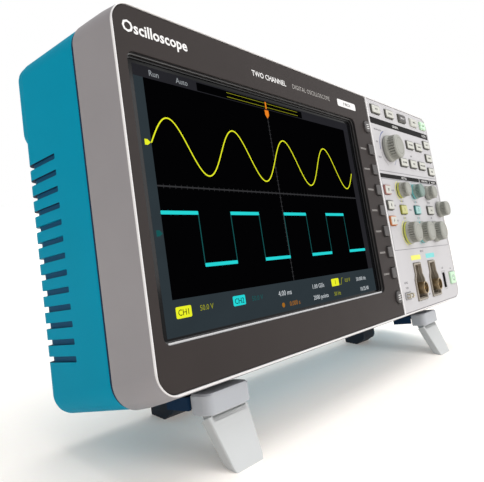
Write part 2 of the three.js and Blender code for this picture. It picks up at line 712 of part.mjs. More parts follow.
// ---------- put it together ----------
addPart('front_frame', frontFrame(), FRAME_GREY, 0.45);
addPart('display_bezel', displayBezel(), BEZEL_DARK, 0.4);
addPart('control_panel', controlPanel(), PANEL_GREY, 0.5);
addPart('screen_glass', screenGlass(), 0x05070a, 0.1);
addPart('lcd_module', lcdModule(), 0x2a2c30, 0.5);
addPart('front_panel_board', frontPanelBoard(), BOARD_GREEN, 0.6);
addPart('chassis', chassis(), METAL, 0.4, 0.9);
addPart('main_board', mainBoard(), BOARD_GREEN, 0.6);
addPart('power_supply', powerSupply(), 0x6b6a3c, 0.6);
addPart('mains_inlet', mainsInlet(), RUBBER, 0.5);
addPart('rear_cover', rearCover(), SHELL_TEAL, 0.45);
addPart('usb_host_port', usbHostPort(), METAL, 0.35, 0.9);
addPart('probe_comp_terminal', compTerminal(), METAL, 0.3, 0.9);
INPUT_XS.forEach((x, k) => {
  addPart(`probe_socket_${k + 1}`, probeSocket(x), 0x8d8b84, 0.4, 0.6);
  addPart(`bnc_jack_${k + 1}`, bncJack(x), METAL, 0.25, 0.95);
});
knobs.forEach((row) => addPart(row[0], knob(row), KNOB_GREY, 0.55));
[...bezelKeys, ...panelKeys].forEach((row) => addPart(row[0], key(row), row[5], 0.5));
[['left', -1], ['right', 1]].forEach(([name, side]) => {
  addPart(`front_foot_mount_${name}`, footMount(side * FOOT_X), 0xc9cbcc, 0.5);
  addPart(`front_foot_${name}`, frontFoot(side * FOOT_X), 0xd6d8d9, 0.5);
  addPart(`rear_foot_${name}`, rearFoot(side * REAR_FOOT_X), RUBBER, 0.8);
});

// Stand the feet on the table and centre the footprint of the whole object on the origin.
instrument.position.z = -GROUND_AT_FRONT * Math.cos(LEAN);
model.updateMatrixWorld(true);
const bounds = new THREE.Box3().setFromObject(model, true);
instrument.position.y = -(bounds.min.y + bounds.max.y) / 2;

export default model;
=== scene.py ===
"""The looks of a bench oscilloscope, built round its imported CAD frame.

Shapes are drawn in the instrument's own upright frame, in millimetres: X to the right, Y from the
front to the rear, Z up, with zero at the bottom centre of the front face. BODY takes them to the
row frame, in metres, where the instrument leans back on its feet.
"""
import json
import math

import bmesh
import bpy
from mathutils import Matrix, Vector


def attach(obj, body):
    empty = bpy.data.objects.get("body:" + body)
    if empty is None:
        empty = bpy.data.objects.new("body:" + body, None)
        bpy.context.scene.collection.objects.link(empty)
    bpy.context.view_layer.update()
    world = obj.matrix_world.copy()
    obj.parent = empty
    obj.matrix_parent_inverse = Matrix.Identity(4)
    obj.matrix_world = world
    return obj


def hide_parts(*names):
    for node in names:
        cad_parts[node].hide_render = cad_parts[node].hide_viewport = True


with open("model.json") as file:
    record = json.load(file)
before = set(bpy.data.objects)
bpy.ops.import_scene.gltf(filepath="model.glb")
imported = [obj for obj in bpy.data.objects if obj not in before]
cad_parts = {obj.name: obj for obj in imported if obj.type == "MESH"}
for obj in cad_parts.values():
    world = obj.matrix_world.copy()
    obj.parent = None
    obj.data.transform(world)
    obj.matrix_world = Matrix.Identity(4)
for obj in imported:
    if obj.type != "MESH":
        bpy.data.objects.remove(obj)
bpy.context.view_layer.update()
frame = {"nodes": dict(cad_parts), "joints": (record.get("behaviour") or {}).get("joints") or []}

# ---------- the instrument's own frame ----------
MM = 0.001
JOINTS = {joint["name"]: joint for joint in frame["joints"]}
INTO = JOINTS["save_button_press"]["axis"]
LEAN = math.atan2(-INTO[2], INTO[1])
PIVOT = Vector((133, 17, -11.8))  # the right front foot's hinge
TURN = Matrix.Rotation(-LEAN, 4, "X")
PIVOT_PLACE = Vector(JOINTS["front_foot_right_fold"]["pos_m"])
BODY = Matrix.Translation(PIVOT_PLACE - TURN @ (PIVOT * MM)) @ TURN @ Matrix.Scale(MM, 4)
UPRIGHT = BODY.inverted()


def node_box(node):
    """Lowest and highest corner of a CAD node in the instrument's frame."""
    points = [UPRIGHT @ vertex.co for vertex in frame["nodes"][node].data.vertices]
    return Vector(map(min, zip(*points))), Vector(map(max, zip(*points)))


def front_box(node):
    """Left, right, low and high of a CAD node seen from the front."""
    low, high = node_box(node)
    return low.x, high.x, low.z, high.z


def middle_of(box):
    left, right, low, high = box
    return (left + right) / 2, (low + high) / 2


def centre_of(node):
    return middle_of(front_box(node))


# ---------- dimensions shared with the CAD model ----------
HALF_FULL, FULL_LOW, FULL_HIGH = 186.19, -6.5, 172.65
REAR_LOW = -9.8
HALF_FRONT, FRONT_HEIGHT = 185.4, 170.4
FRAME_DEPTH, BODY_DEPTH, BROW_DEPTH = 29, 81, 84.8
WALL, GAP = 2.6, 0.3
DIVIDER = (57.2, 59.2)
PLATE_FRONT, PLATE_BACK = 0.4, 3.3
SCREEN = (-178.4, 31.7, 20.7, 147.4)
PICTURE = (-173.5, 23.0)  # lower left corner of the display's lit area
PICTURE_SIZE = (199.0, 121.0)
GROUND_AT_FRONT = -41.698  # where the ground crosses the plane of the front face
INPUT_Z = 17
RIM = 1.2  # the front edge, painted pale as a highlight, that shows round the plates; they cover the rest of the CAD model's 1.6 mm
HIGHLIGHT_DEPTH = 0.7  # how far that painted highlight reaches back
LEDGE = 7  # how far the frame reaches in behind the plates

# ---------- mesh building ----------


def closed(bm):
    bmesh.ops.remove_doubles(bm, verts=bm.verts, dist=1e-4)
    bmesh.ops.recalc_face_normals(bm, faces=bm.faces)
    return bm


def arc(cx, cz, radius, start, end, steps):
    """Points on an arc; angles in degrees, anticlockwise from +X."""
    angles = [math.radians(start + (end - start) * step / steps) for step in range(steps + 1)]
    return [(cx + radius * math.cos(a), cz + radius * math.sin(a)) for a in angles]


def rounded(left, right, low, high, radius, steps=6):
    """A rounded rectangle; radius may be one for each corner, from top right anticlockwise."""
    radii = radius if isinstance(radius, tuple) else (radius,) * 4
    signs = ((1, 1), (-1, 1), (-1, -1), (1, -1))
    points = []
    for quarter, (r, (sx, sz)) in enumerate(zip(radii, signs)):
        cx = (right if sx > 0 else left) - sx * r
        cz = (high if sz > 0 else low) - sz * r
        points += arc(cx, cz, r, quarter * 90, quarter * 90 + 90, steps)
    return points


def centred(x, z, width, height, radius, steps=4):
    return rounded(x - width / 2, x + width / 2, z - height / 2, z + height / 2, radius, steps)


def inset(box, amount, radius, steps=4):
    """A rounded rectangle that much inside a box of left, right, low and high."""
    left, right, low, high = box
    return rounded(left + amount, right - amount, low + amount, high - amount, radius, steps)


def circle(x, z, radius, steps=32):
    return arc(x, z, radius, 0, 360 * (steps - 1) / steps, steps - 1)


def skin(rings, loop=False, caps=True):
    """A surface through rings with equal numbers of points."""
    bm = bmesh.new()
    rows = [[bm.verts.new(point) for point in ring] for ring in rings]
    pairs = list(zip(rows, rows[1:]))
    if loop:
        pairs.append((rows[-1], rows[0]))
    for near, far in pairs:
        for k in range(len(near)):
            n = (k + 1) % len(near)
            bm.faces.new((near[k], far[k], far[n], near[n]))
    if caps and not loop:
        bm.faces.new(rows[0])
        bm.faces.new(rows[-1])
    return closed(bm)


def case_ring(half, low, high, radius, y):
    """The outline of the case at a depth y."""
    return [(x, y, z) for x, z in rounded(-half, half, low, high, radius, 14)]


def case_rings(half, low, high, rows):
    """A case ring for each row of how far it lies inside, its corner radius and its depth."""
    return [case_ring(half - less, low + less, high - less, radius, y) for less, radius, y in rows]


def turned(profile, x, z, steps=48, ribs=None):
    """A profile of (radius, y) turned about an axis along Y; ribs(angle, y) takes from the radius."""
    rings = []
    for radius, y in profile:
        ring = []
        for k in range(steps):
            angle = 2 * math.pi * k / steps
            r = radius - (ribs(angle, y) if ribs and radius else 0)
            ring.append((x + r * math.cos(angle), y, z + r * math.sin(angle)))
        rings.append(ring)
    return skin(rings, caps=False)


def ring_turned(profile, x, z, steps=48):
    """As turned, for a profile that closes on itself."""
    return skin([[(u, y, w) for u, w in circle(x, z, radius, steps)] for radius, y in profile], loop=True)


def placed(name, data):
    """An object in the scene for a mesh, a light or a camera."""
    made = bpy.data.objects.new(name, data)
    bpy.context.scene.collection.objects.link(made)
    return made


def mesh_of(obj):
    bm = bmesh.new()
    mesh = bpy.data.meshes.new_from_object(obj)
    bm.from_mesh(mesh)
    bpy.data.meshes.remove(mesh)
    return bm


# Takes a drawing in X and Y to one that stands in X and Z, with its thickness along Y.
STAND_UP = Matrix(((1, 0, 0, 0), (0, 0, -1, 0), (0, 1, 0, 0), (0, 0, 0, 1)))


def plate(outer, front, back, edge=0.3, holes=(), segments=2):
    """A flat plate with holes, its outlines in X and Z, with rounded edges."""
    curve = bpy.data.curves.new("plate", "CURVE")
    curve.dimensions = "2D"
    curve.fill_mode = "BOTH"
    curve.extrude = (back - front) / 2 - edge
    curve.bevel_depth = edge
    curve.bevel_resolution = segments - 1
    curve.offset = -edge
    for loop in [outer] + [list(reversed(hole)) for hole in holes]:
        spline = curve.splines.new("POLY")
        spline.points.add(len(loop) - 1)
        spline.use_cyclic_u = True
        for point, (x, z) in zip(spline.points, loop):
            point.co = (x, z, 0, 1)
    holder = bpy.data.objects.new("plate", curve)
    bm = mesh_of(holder)
    bpy.data.objects.remove(holder)
    bpy.data.curves.remove(curve)
    bm.transform(Matrix.Translation((0, (front + back) / 2, 0)) @ STAND_UP)
    return closed(bm)


def lettering(text, x, z, size, front, depth=0.06, align="CENTER", weight=0.0):
    """Raised print on the front; z is the middle of a capital's height."""
    font = bpy.data.curves.new("lettering", "FONT")
    font.body = text
    font.size = size
    font.extrude = depth / 2
    font.align_x = align
    font.offset = weight
    font.resolution_u = 2
    holder = bpy.data.objects.new("lettering", font)
    bm = mesh_of(holder)
    bpy.data.objects.remove(holder)
    bpy.data.curves.remove(font)
    middle = z - 0.35 * size
    bm.transform(Matrix.Translation((x, front - depth / 2, middle)) @ STAND_UP)
    return closed(bm)


def bevel(bm, edges, width, segments=2, clamp=False):
    bmesh.ops.bevel(bm, geom=edges, offset=width, segments=segments, profile=0.5, affect="EDGES",
                    clamp_overlap=clamp)


def sharp_edges(bm, angle):
    return [edge for edge in bm.edges
            if len(edge.link_faces) == 2 and edge.calc_face_angle(0) > math.radians(angle)]


def block(low, high, edge=0.3, segments=2):
    """A box with rounded edges."""
    bm = bmesh.new()
    bmesh.ops.create_cube(bm, size=1)
    size = Vector(high) - Vector(low)
    middle = (Vector(high) + Vector(low)) / 2
    bm.transform(Matrix.Translation(middle) @ Matrix.Diagonal((*size, 1)))
    if edge:
        bevel(bm, bm.edges, edge, segments)
    return closed(bm)


def about(place, half_width, half_height, front, back, edge=0, segments=2):
    """A block whose middle is at an (x, z) place."""
    x, z = place
    low, high = (x - half_width, front, z - half_height), (x + half_width, back, z + half_height)
    return block(low, high, edge, segments)


def extruded(profile, left, right, edge=0.4):
    """A side profile of (y, z) points, run from one X to another, with rounded edges."""
    bm = bmesh.new()
    faces = [bm.faces.new([bm.verts.new((left, y, z)) for y, z in profile])]
    run = bmesh.ops.extrude_face_region(bm, geom=faces)
    moved = [item for item in run["geom"] if isinstance(item, bmesh.types.BMVert)]
    bmesh.ops.translate(bm, verts=moved, vec=(right - left, 0, 0))
    closed(bm)
    bevel(bm, sharp_edges(bm, 20), edge)
    return closed(bm)


def bar(x, y, z, radius, length, steps=24):
    """A round bar along X."""
    ends = (x - length / 2, x + length / 2)
    return skin([[(end, u, w) for u, w in circle(y, z, radius, steps)] for end in ends])


def merged(solids):
    whole = bmesh.new()
    for solid in solids:
        mesh = bpy.data.meshes.new("part")
        solid.to_mesh(mesh)
        whole.from_mesh(mesh)
        bpy.data.meshes.remove(mesh)
    return whole


def boolean(solid, tools, operation):
    holders = []
    for bm in (solid, merged(tools)):
        mesh = bpy.data.meshes.new("holder")
        bm.to_mesh(mesh)
        holders.append(placed("holder", mesh))
    change = holders[0].modifiers.new("change", "BOOLEAN")
    change.operation = operation
    change.solver = "EXACT"
    change.use_self = True
    change.object = holders[1]
    bpy.context.view_layer.update()
    made = mesh_of(holders[0].evaluated_get(bpy.context.evaluated_depsgraph_get()))
    for holder in holders:
        bpy.data.meshes.remove(holder.data)
    return closed(made)


def cut(solid, *tools):
    return boolean(solid, tools, "DIFFERENCE")


def join(solid, *others):
    return boolean(solid, others, "UNION")


def soften(bm, width, angle=35):
    """Rounds every edge sharper than angle."""
    bevel(bm, sharp_edges(bm, angle), width, clamp=True)
    return closed(bm)


def show(name, parts, body="case", replaces=(), smooth=32):
    """One piece of the object, riding on body, from [(solid or list of solids, material), ...]."""
    whole = bmesh.new()
    mesh = bpy.data.meshes.new(name)
    for index, (solids, material) in enumerate(parts):
        solid = merged(solids) if isinstance(solids, list) else solids
        for face in solid.faces:
            face.material_index = index
            face.smooth = True
        part = bpy.data.meshes.new("part")
        solid.to_mesh(part)
        whole.from_mesh(part)
        bpy.data.meshes.remove(part)
        mesh.materials.append(material)
    for edge in whole.edges:
        edge.smooth = len(edge.link_faces) == 2 and edge.calc_face_angle(0) < math.radians(smooth)
    whole.transform(BODY)
    whole.to_mesh(mesh)
    piece = placed(name, mesh)
    weigh = piece.modifiers.new("face_weights", "WEIGHTED_NORMAL")
    weigh.keep_sharp = True
    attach(piece, body)
    if replaces:
        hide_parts(*replaces)
    return piece


def repaint(piece, material, chosen):
    """Another material for the faces for which chosen(centre, normal) holds, in the instrument's frame."""
    piece.data.materials.append(material)
    turn = BODY.to_3x3().normalized().inverted()
    for face in piece.data.polygons:
        if chosen(UPRIGHT @ face.center, turn @ face.normal):
            face.material_index = len(piece.data.materials) - 1


# ---------- materials ----------


def srgb(red, green, blue):
    """A colour given as 0 to 255 screen values, as linear light."""
    levels = [value / 255 for value in (red, green, blue)]
    return tuple(v / 12.92 if v < 0.04045 else ((v + 0.055) / 1.055) ** 2.4 for v in levels) + (1,)


def shade(color, factor):
    return tuple(min(1, channel * factor) for channel in color[:3]) + (1,)


def node(tree, kind, settings=(), **inputs):
    """A shader node. Its settings come first; each input is then a value or a socket to link from."""
    made = tree.nodes.new("ShaderNode" + kind)
    for name, value in settings:
        setattr(made, name, value)
    for name, value in inputs.items():
        socket = made.inputs[name.replace("_", " ")]
        if isinstance(value, bpy.types.NodeSocket):
            tree.links.new(value, socket)
        else:
            socket.default_value = value
    return made.outputs


COLOR_MIX = [("data_type", "RGBA")]


def surface(name, color, roughness, grain=0.35, relief=0.02, drift=0.05, spread=0.07,
            stretch=(1, 1, 1), **sockets):
    """A material whose colour drifts slowly and whose fine grain shows in its relief and gloss.

    grain is the size of the texture and relief its depth, both in millimetres; drift and spread
    are how far the colour and the roughness vary. Other arguments set inputs of the shader."""
    material = bpy.data.materials.new(name)
    material.use_nodes = True
    tree = material.node_tree
    shader = tree.nodes["Principled BSDF"]
    place = node(tree, "TexCoord")["Object"]
    scaled = node(tree, "Mapping", Vector=place, Scale=stretch)["Vector"]
    slow = node(tree, "TexNoise", Vector=place, Scale=45, Detail=3)
    fine = node(tree, "TexNoise", Vector=scaled, Scale=1 / (grain * MM), Detail=2)
    tint = node(tree, "Mix", COLOR_MIX, Factor=slow["Fac"],
                A=shade(color, 1 - drift), B=shade(color, 1 + drift))
    speck = node(tree, "Mix", COLOR_MIX + [("blend_type", "MULTIPLY")], Factor=0.5 * drift + 0.04,
                 A=tint["Result"], B=fine["Color"])
    gloss = node(tree, "MapRange", Value=fine["Fac"], From_Min=0.3, From_Max=0.7,
                 To_Min=max(0.02, roughness - spread), To_Max=min(1, roughness + spread))
    bump = node(tree, "Bump", Height=fine["Fac"], Strength=0.5, Distance=relief * MM)
    tree.links.new(speck["Result"], shader.inputs["Base Color"])
    tree.links.new(gloss["Result"], shader.inputs["Roughness"])
    tree.links.new(bump["Normal"], shader.inputs["Normal"])
    for socket, value in sockets.items():
        shader.inputs[socket.replace("_", " ")].default_value = value
    return material


def glowing(name, color, strength=1.0):
    """Part of the display's picture, faintly uneven as a backlight is."""
    material = surface(name, shade(color, 0.02), 0.35, 0.25, 0.004, Specular_IOR_Level=0.0)
    tree = material.node_tree
    shader = tree.nodes["Principled BSDF"]
    backlight = node(tree, "TexNoise", Scale=9)["Fac"]
    uneven = node(tree, "Mix", COLOR_MIX, Factor=backlight, A=shade(color, 0.88), B=shade(color, 1.06))
    tree.links.new(uneven["Result"], shader.inputs["Emission Color"])
    shader.inputs["Emission Strength"].default_value = strength
    return material


def key_plastic(name, red, green, blue):
    return surface(name, srgb(red, green, blue), 0.5, grain=0.3, relief=0.01)


def print_ink(name, red, green, blue, roughness=0.5, **more):
    return surface(name, srgb(red, green, blue), roughness, grain=0.25, relief=0.006, **more)


TEAL = surface("shell_teal", srgb(0, 141, 172), 0.5, 0.5, 0.03, 0.04, Specular_IOR_Level=0.03)
# A dark navy copy of the teal: painted shade inside the cover and on its foot pads, and the colour of the
# dark seam strip.
SHELL_SHADE_AND_SEAM = surface("shell_shade_and_seam", srgb(14, 44, 72), 0.7, 0.5, 0.03, Specular_IOR_Level=0.15)
# Painted shade: the dark of the inside as seen through the vent slots.
VENT_SHADE_SCREEN = surface("vent_shade_screen", srgb(6, 78, 114), 0.6, 0.5, 0.03, Specular_IOR_Level=0.1)
FRAME_GREY = surface("frame_grey", srgb(143, 140, 143), 0.45, 0.45, 0.02, 0.04, Specular_IOR_Level=0.35)
# A lighter copy of the frame grey: painted highlight on the front edge and the divider.
RIM_HIGHLIGHT_GREY = surface("rim_painted_highlight", srgb(218, 217, 218), 0.4, 0.4, 0.012, 0.03)
PANEL_GREY = surface("panel_grey", srgb(184, 183, 186), 0.5, 0.35, 0.014, 0.025)
BEZEL = surface("bezel_dark", srgb(51, 46, 45), 0.45, 0.4, 0.014, 0.08, Specular_IOR_Level=0.08)
# Black of the seals, also used as painted shade on the bezel's hole walls.
GASKET_AND_SHADE = surface("gasket_and_shade_black", srgb(24, 24, 26), 0.5, 0.3)
WINDOW_LIP = surface("window_lip", srgb(40, 38, 38), 0.35, 0.3, 0.01)
# Painted highlight along the lower edge of the display window.
WINDOW_SILL_HIGHLIGHT = surface("window_sill_highlight", srgb(196, 196, 198), 0.35, 0.3, 0.01)
GLASS = surface("screen_glass", srgb(9, 10, 12), 0.12, 2.0, 0.002, spread=0.02, Specular_IOR_Level=0.12)
KNOB = surface("knob_grey", srgb(146, 147, 140), 0.5, relief=0.03)
KNOB_TEAL = surface("knob_grey_teal", srgb(112, 134, 128), 0.5, relief=0.03)
# Painted shade for the groove ring on a knob's face.
KNOB_GROOVE_SHADE = surface("knob_groove_shade", srgb(92, 92, 86), 0.6, relief=0.03)
SKIRT_YELLOW = surface("key_yellow", srgb(196, 198, 92), 0.45, 0.3, 0.01, Subsurface_Weight=0.1)
SKIRT_CYAN = surface("key_cyan", srgb(104, 178, 178), 0.45, 0.3, 0.01, Subsurface_Weight=0.1)
KEY_LIGHT = surface("key_light", srgb(190, 191, 184), 0.5, 0.3, 0.012)
# A darker copy of the light key plastic: painted shade on the keys' side walls.
KEY_SHADED_SIDE = surface("key_shaded_side", srgb(84, 84, 78), 0.55, 0.3)
KEY_DARK = surface("key_dark", srgb(60, 57, 57), 0.45, 0.3, 0.015)
KEY_GREEN = surface("key_green", srgb(200, 232, 196), 0.4, 0.3, 0.01, Subsurface_Weight=0.15)
# Side colours of the math and FFT keys: the keys' own red and orange, with painted shade on the side walls.
KEY_RED = surface("key_red", srgb(160, 108, 100), 0.5, 0.3, 0.012)
KEY_ORANGE = surface("key_orange", srgb(196, 118, 66), 0.5, 0.3, 0.012)
# Darker copies of the channel keys' faces: painted shade on their side walls.
SHADED_SIDE_YELLOW = key_plastic("key_shaded_side_yellow", 132, 132, 44)
SHADED_SIDE_CYAN = key_plastic("key_shaded_side_cyan", 26, 104, 104)
FACE_YELLOW = key_plastic("key_face_yellow", 186, 186, 124)
FACE_CYAN = key_plastic("key_face_cyan", 150, 192, 190)
PRINT_DARK = print_ink("print_dark", 16, 15, 15, 0.6, Specular_IOR_Level=0.08)
PRINT_GREY = print_ink("print_grey", 112, 112, 118)
PRINT_LIGHT = print_ink("print_light", 226, 226, 226)
PRINT_SOFT = print_ink("print_soft", 150, 147, 144)
PRINT_YELLOW = print_ink("print_yellow", 226, 224, 96)
PRINT_CYAN = print_ink("print_cyan", 112, 202, 202)
PRINT_BLUE = print_ink("print_blue", 70, 84, 140)
NICKEL = surface("nickel", srgb(196, 188, 168), 0.28, 0.5, 0.01, stretch=(1, 0.15, 1), Metallic=1)
SOCKET = surface("socket_metal", srgb(158, 150, 138), 0.5, 0.8, 0.05, 0.25, Metallic=0.1)
BRASS = surface("jack_plate", srgb(164, 146, 116), 0.32, 0.5, 0.01, 0.12, Metallic=1)
GOLD = surface("contact_gold", srgb(214, 170, 92), 0.3, 0.4, 0.01, Metallic=1)
ZINC = surface("zinc_sheet", srgb(178, 181, 182), 0.38, 2.5, 0.02, 0.1, Metallic=1)
SHADOWED_METAL = surface("shadowed_metal", srgb(46, 45, 44), 0.6, 0.4, Specular_IOR_Level=0.2)
INSULATOR = surface("insulator_white", srgb(216, 212, 202), 0.45, 0.3, 0.01)
TERMINAL_GREY = surface("terminal_grey", srgb(168, 168, 170), 0.5, 0.3, 0.012)
FOOT_GREY = surface("foot_grey", srgb(190, 193, 194), 0.45, 0.45, 0.02, 0.03)
HOOD_GREY = surface("hood_grey", srgb(172, 176, 182), 0.5, 0.45, 0.02, 0.04)
RUBBER = surface("foot_rubber", srgb(24, 34, 46), 0.8, 0.4, 0.05, 0.12)
BLACK_PLASTIC = surface("inlet_black", srgb(30, 30, 32), 0.5)
BOARD = surface("circuit_board", srgb(32, 92, 58), 0.4, 1.2, 0.04, 0.2)
LAMINATE = surface("power_board", srgb(112, 106, 60), 0.5, 1.2, 0.04, 0.2)
LCD_CASE = surface("lcd_case", srgb(50, 53, 58), 0.5, 0.5)

PICTURE_SLATE = glowing("picture_slate", srgb(46, 55, 60))
PICTURE_TITLE_BAR = glowing("picture_title_bar", srgb(38, 38, 42))
PICTURE_BLACK = glowing("picture_black", srgb(3, 3, 4))
PICTURE_GRID = glowing("picture_grid", srgb(52, 52, 54))
PICTURE_YELLOW = glowing("picture_yellow", srgb(226, 232, 40), strength=1.1)
PICTURE_DIM_YELLOW = glowing("picture_yellow_dim", srgb(150, 152, 34))
PICTURE_CYAN = glowing("picture_cyan", srgb(38, 214, 214))
PICTURE_DIM_CYAN = glowing("picture_cyan_dim", srgb(24, 84, 84))
PICTURE_ORANGE = glowing("picture_orange", srgb(236, 130, 34))
PICTURE_DIM_ORANGE = glowing("picture_orange_dim", srgb(160, 104, 32))
PICTURE_WHITE = glowing("picture_white", srgb(196, 202, 206))
PICTURE_GREY = glowing("picture_grey", srgb(150, 154, 158))
PICTURE_INK = glowing("picture_ink", srgb(20, 22, 20))

# ---------- housing ----------


def front_housing():
    """The grey frame: an open shell with a rounded front rim and a ledge for the two plates; its front edge
    and the divider are painted pale as a highlight.
    """
    back = case_rings(HALF_FULL, FULL_LOW, FULL_HIGH, (
        (WALL, 11.4, FRAME_DEPTH), (0.7, 13.4, FRAME_DEPTH), (0.6, 13.4, FRAME_DEPTH - 0.6),
        (0.15, 13.8, FRAME_DEPTH - 1), (0, 14, FRAME_DEPTH - 1.4)))
    side = [case_ring(*row) for row in (
        (HALF_FULL - 0.2, -5.2, FRONT_HEIGHT + 1.9, 13.6, 20),
        (HALF_FULL - 0.4, -2.8, FRONT_HEIGHT + 1.2, 13, 10),
        (HALF_FRONT, -0.1, FRONT_HEIGHT + 0.05, 12.5, 1.2),
        (HALF_FRONT - 0.08, 0.02, FRONT_HEIGHT - 0.03, 12.4, 0.6),
        (HALF_FRONT - 0.3, 0.25, FRONT_HEIGHT - 0.25, 12.2, 0.2),
        (HALF_FRONT - 0.6, 0.6, FRONT_HEIGHT - 0.6, 11.8, 0.02))]
    mouth = case_rings(HALF_FRONT - RIM, RIM, FRONT_HEIGHT - RIM, (
        (-0.2, 9.8, 0.02), (-0.05, 9.65, 0.2), (0, 9.6, 0.6), (0, 9.6, 3.6), (LEDGE, 3, 3.6),
        (LEDGE, 3, 6.2), (1.2, 7, 6.2)))
    shell = skin(back + side + mouth, loop=True)
    divider = plate(rounded(*DIVIDER, RIM - 0.6, FRONT_HEIGHT - RIM + 0.6, 0.1, 1), 0.02, 3.6, edge=0.35)
    piece = show("front_housing", [(shell, FRAME_GREY), (divider, RIM_HIGHLIGHT_GREY)], replaces=["front_frame"],
                 smooth=40)
    # The faces at the very front get the pale grey: a painted highlight on the frame's front edge.
    repaint(piece, RIM_HIGHLIGHT_GREY, lambda centre, _: centre.y < HIGHLIGHT_DEPTH)


def plate_outline(left, right, on_left):
    """The outline of a front plate, with large corners on its outer side."""
    large, small = 9.3, 0.4
    corners = (small, large, large, small) if on_left else (large, small, small, large)
    return rounded(left, right, RIM + GAP, FRONT_HEIGHT - RIM - GAP, corners, 12)


def bezel():
    outline = plate_outline(-HALF_FRONT + RIM + GAP, DIVIDER[0] - GAP, on_left=True)
    holes = [rounded(*SCREEN, 4, 10)] + [key_hole(name) for name in BEZEL_KEYS]
    face = plate(outline, PLATE_FRONT, PLATE_BACK, edge=0.35, holes=holes, segments=3)
    moulding = show("display_bezel_moulding", [(face, BEZEL)], replaces=["display_bezel"])
    # Faces behind the front, the walls of the window and key holes and the back, get the black: painted
    # shade inside the holes.
    repaint(moulding, GASKET_AND_SHADE, lambda centre, _: centre.y > PLATE_FRONT + 0.4)


def window():
    """The lip of the display's window, a pale sill along its bottom that is a painted highlight, and the
    seal between bezel and glass.
    """
    left, right, low, high = SCREEN
    lip = plate(inset(SCREEN, -0.4, 4.2, 10), 1.9, 2.9, edge=0.3, holes=[inset(SCREEN, 0.9, 3.2, 10)])
    # The sill's pale colour is a painted highlight on the window's lower edge.
    sill = block((left + 3, 1.5, low - 0.3), (right - 3, 2.3, low + 0.9), 0.3)
    opening = rounded(left + 1.9, right - 1.9, low + 1.4, high - 1.6, 2.4, 10)
    seal = plate(inset(SCREEN, -1.2, 4.6, 10), 3.35, 3.85, edge=0.12, holes=[opening])
    show("window_lip", [(lip, WINDOW_LIP), (sill, WINDOW_SILL_HIGHLIGHT)])
    show("window_gasket", [(seal, GASKET_AND_SHADE)])


def key_hole(name):
    """A hole a little larger than its key: round for the menu keys."""
    spare = 0.35
    left, right = CAPS[name][:2]
    radius = (right - left) / 2 + spare - 0.01 if name.startswith("menu") else 1.49
    return inset(CAPS[name], -spare, radius, 6)


def input_outline(x, spare):
    """The well of an input: a wide body, shoulders and a narrower neck."""
    body, neck = 10 + spare, 7.25 + spare
    half = ((-neck, 37 + spare), (-neck, 28), (-body, 24), (-body, 7.6 - spare))
    return [(x + dx, z) for dx, z in half] + [(x - dx, z) for dx, z in reversed(half)]


def panel():
    outline = plate_outline(DIVIDER[1] + GAP, HALF_FRONT - RIM - GAP, on_left=False)
    usb = front_box("usb_host_port")
    holes = [key_hole(name) for name in PANEL_KEYS]
    holes += [circle(*centre_of(name), 3.6) for name in KNOBS]
    holes += [input_outline(x, 0.35) for x in INPUT_XS]
    holes += [inset(usb, 0.7, 0.6, 3), inset(front_box("probe_comp_terminal"), -0.35, 1, 3)]
    face = plate(outline, PLATE_FRONT, PLATE_BACK, edge=0.25, holes=holes)
    slot_lip = plate(inset(usb, 0.6, 0.7, 3), PLATE_FRONT - 0.04, PLATE_BACK, edge=0.05,
                     holes=[inset(usb, 1.0, 0.4, 3)])
    show("control_panel_moulding", [(face, PANEL_GREY), (slot_lip, GASKET_AND_SHADE)], replaces=["control_panel"])


def flat(outline, front=PLATE_FRONT, depth=0.06, holes=()):
    """Print on a front surface: a thin layer standing on it."""
    return plate(outline, front - depth, front + 0.02, edge=0.012, holes=holes, segments=1)


def line(points, width, front=PLATE_FRONT, depth=0.06):
    """A printed line of even width through (x, z) points."""
    left, right = [], []
    for k, point in enumerate(points):
        before, after = Vector(points[max(k - 1, 0)]), Vector(points[min(k + 1, len(points) - 1)])
        along = (after - before).normalized()
        side = Vector((-along.y, along.x)) * width / 2
        left.append(tuple(Vector(point) + side))
        right.append(tuple(Vector(point) - side))
    return flat(right + left[::-1], front, depth)


def frame_line(left, right, low, high, radius, width):
    hole = inset((left, right, low, high), width, max(radius - width, 0.1))
    return flat(rounded(left, right, low, high, radius, 4), holes=[hole])


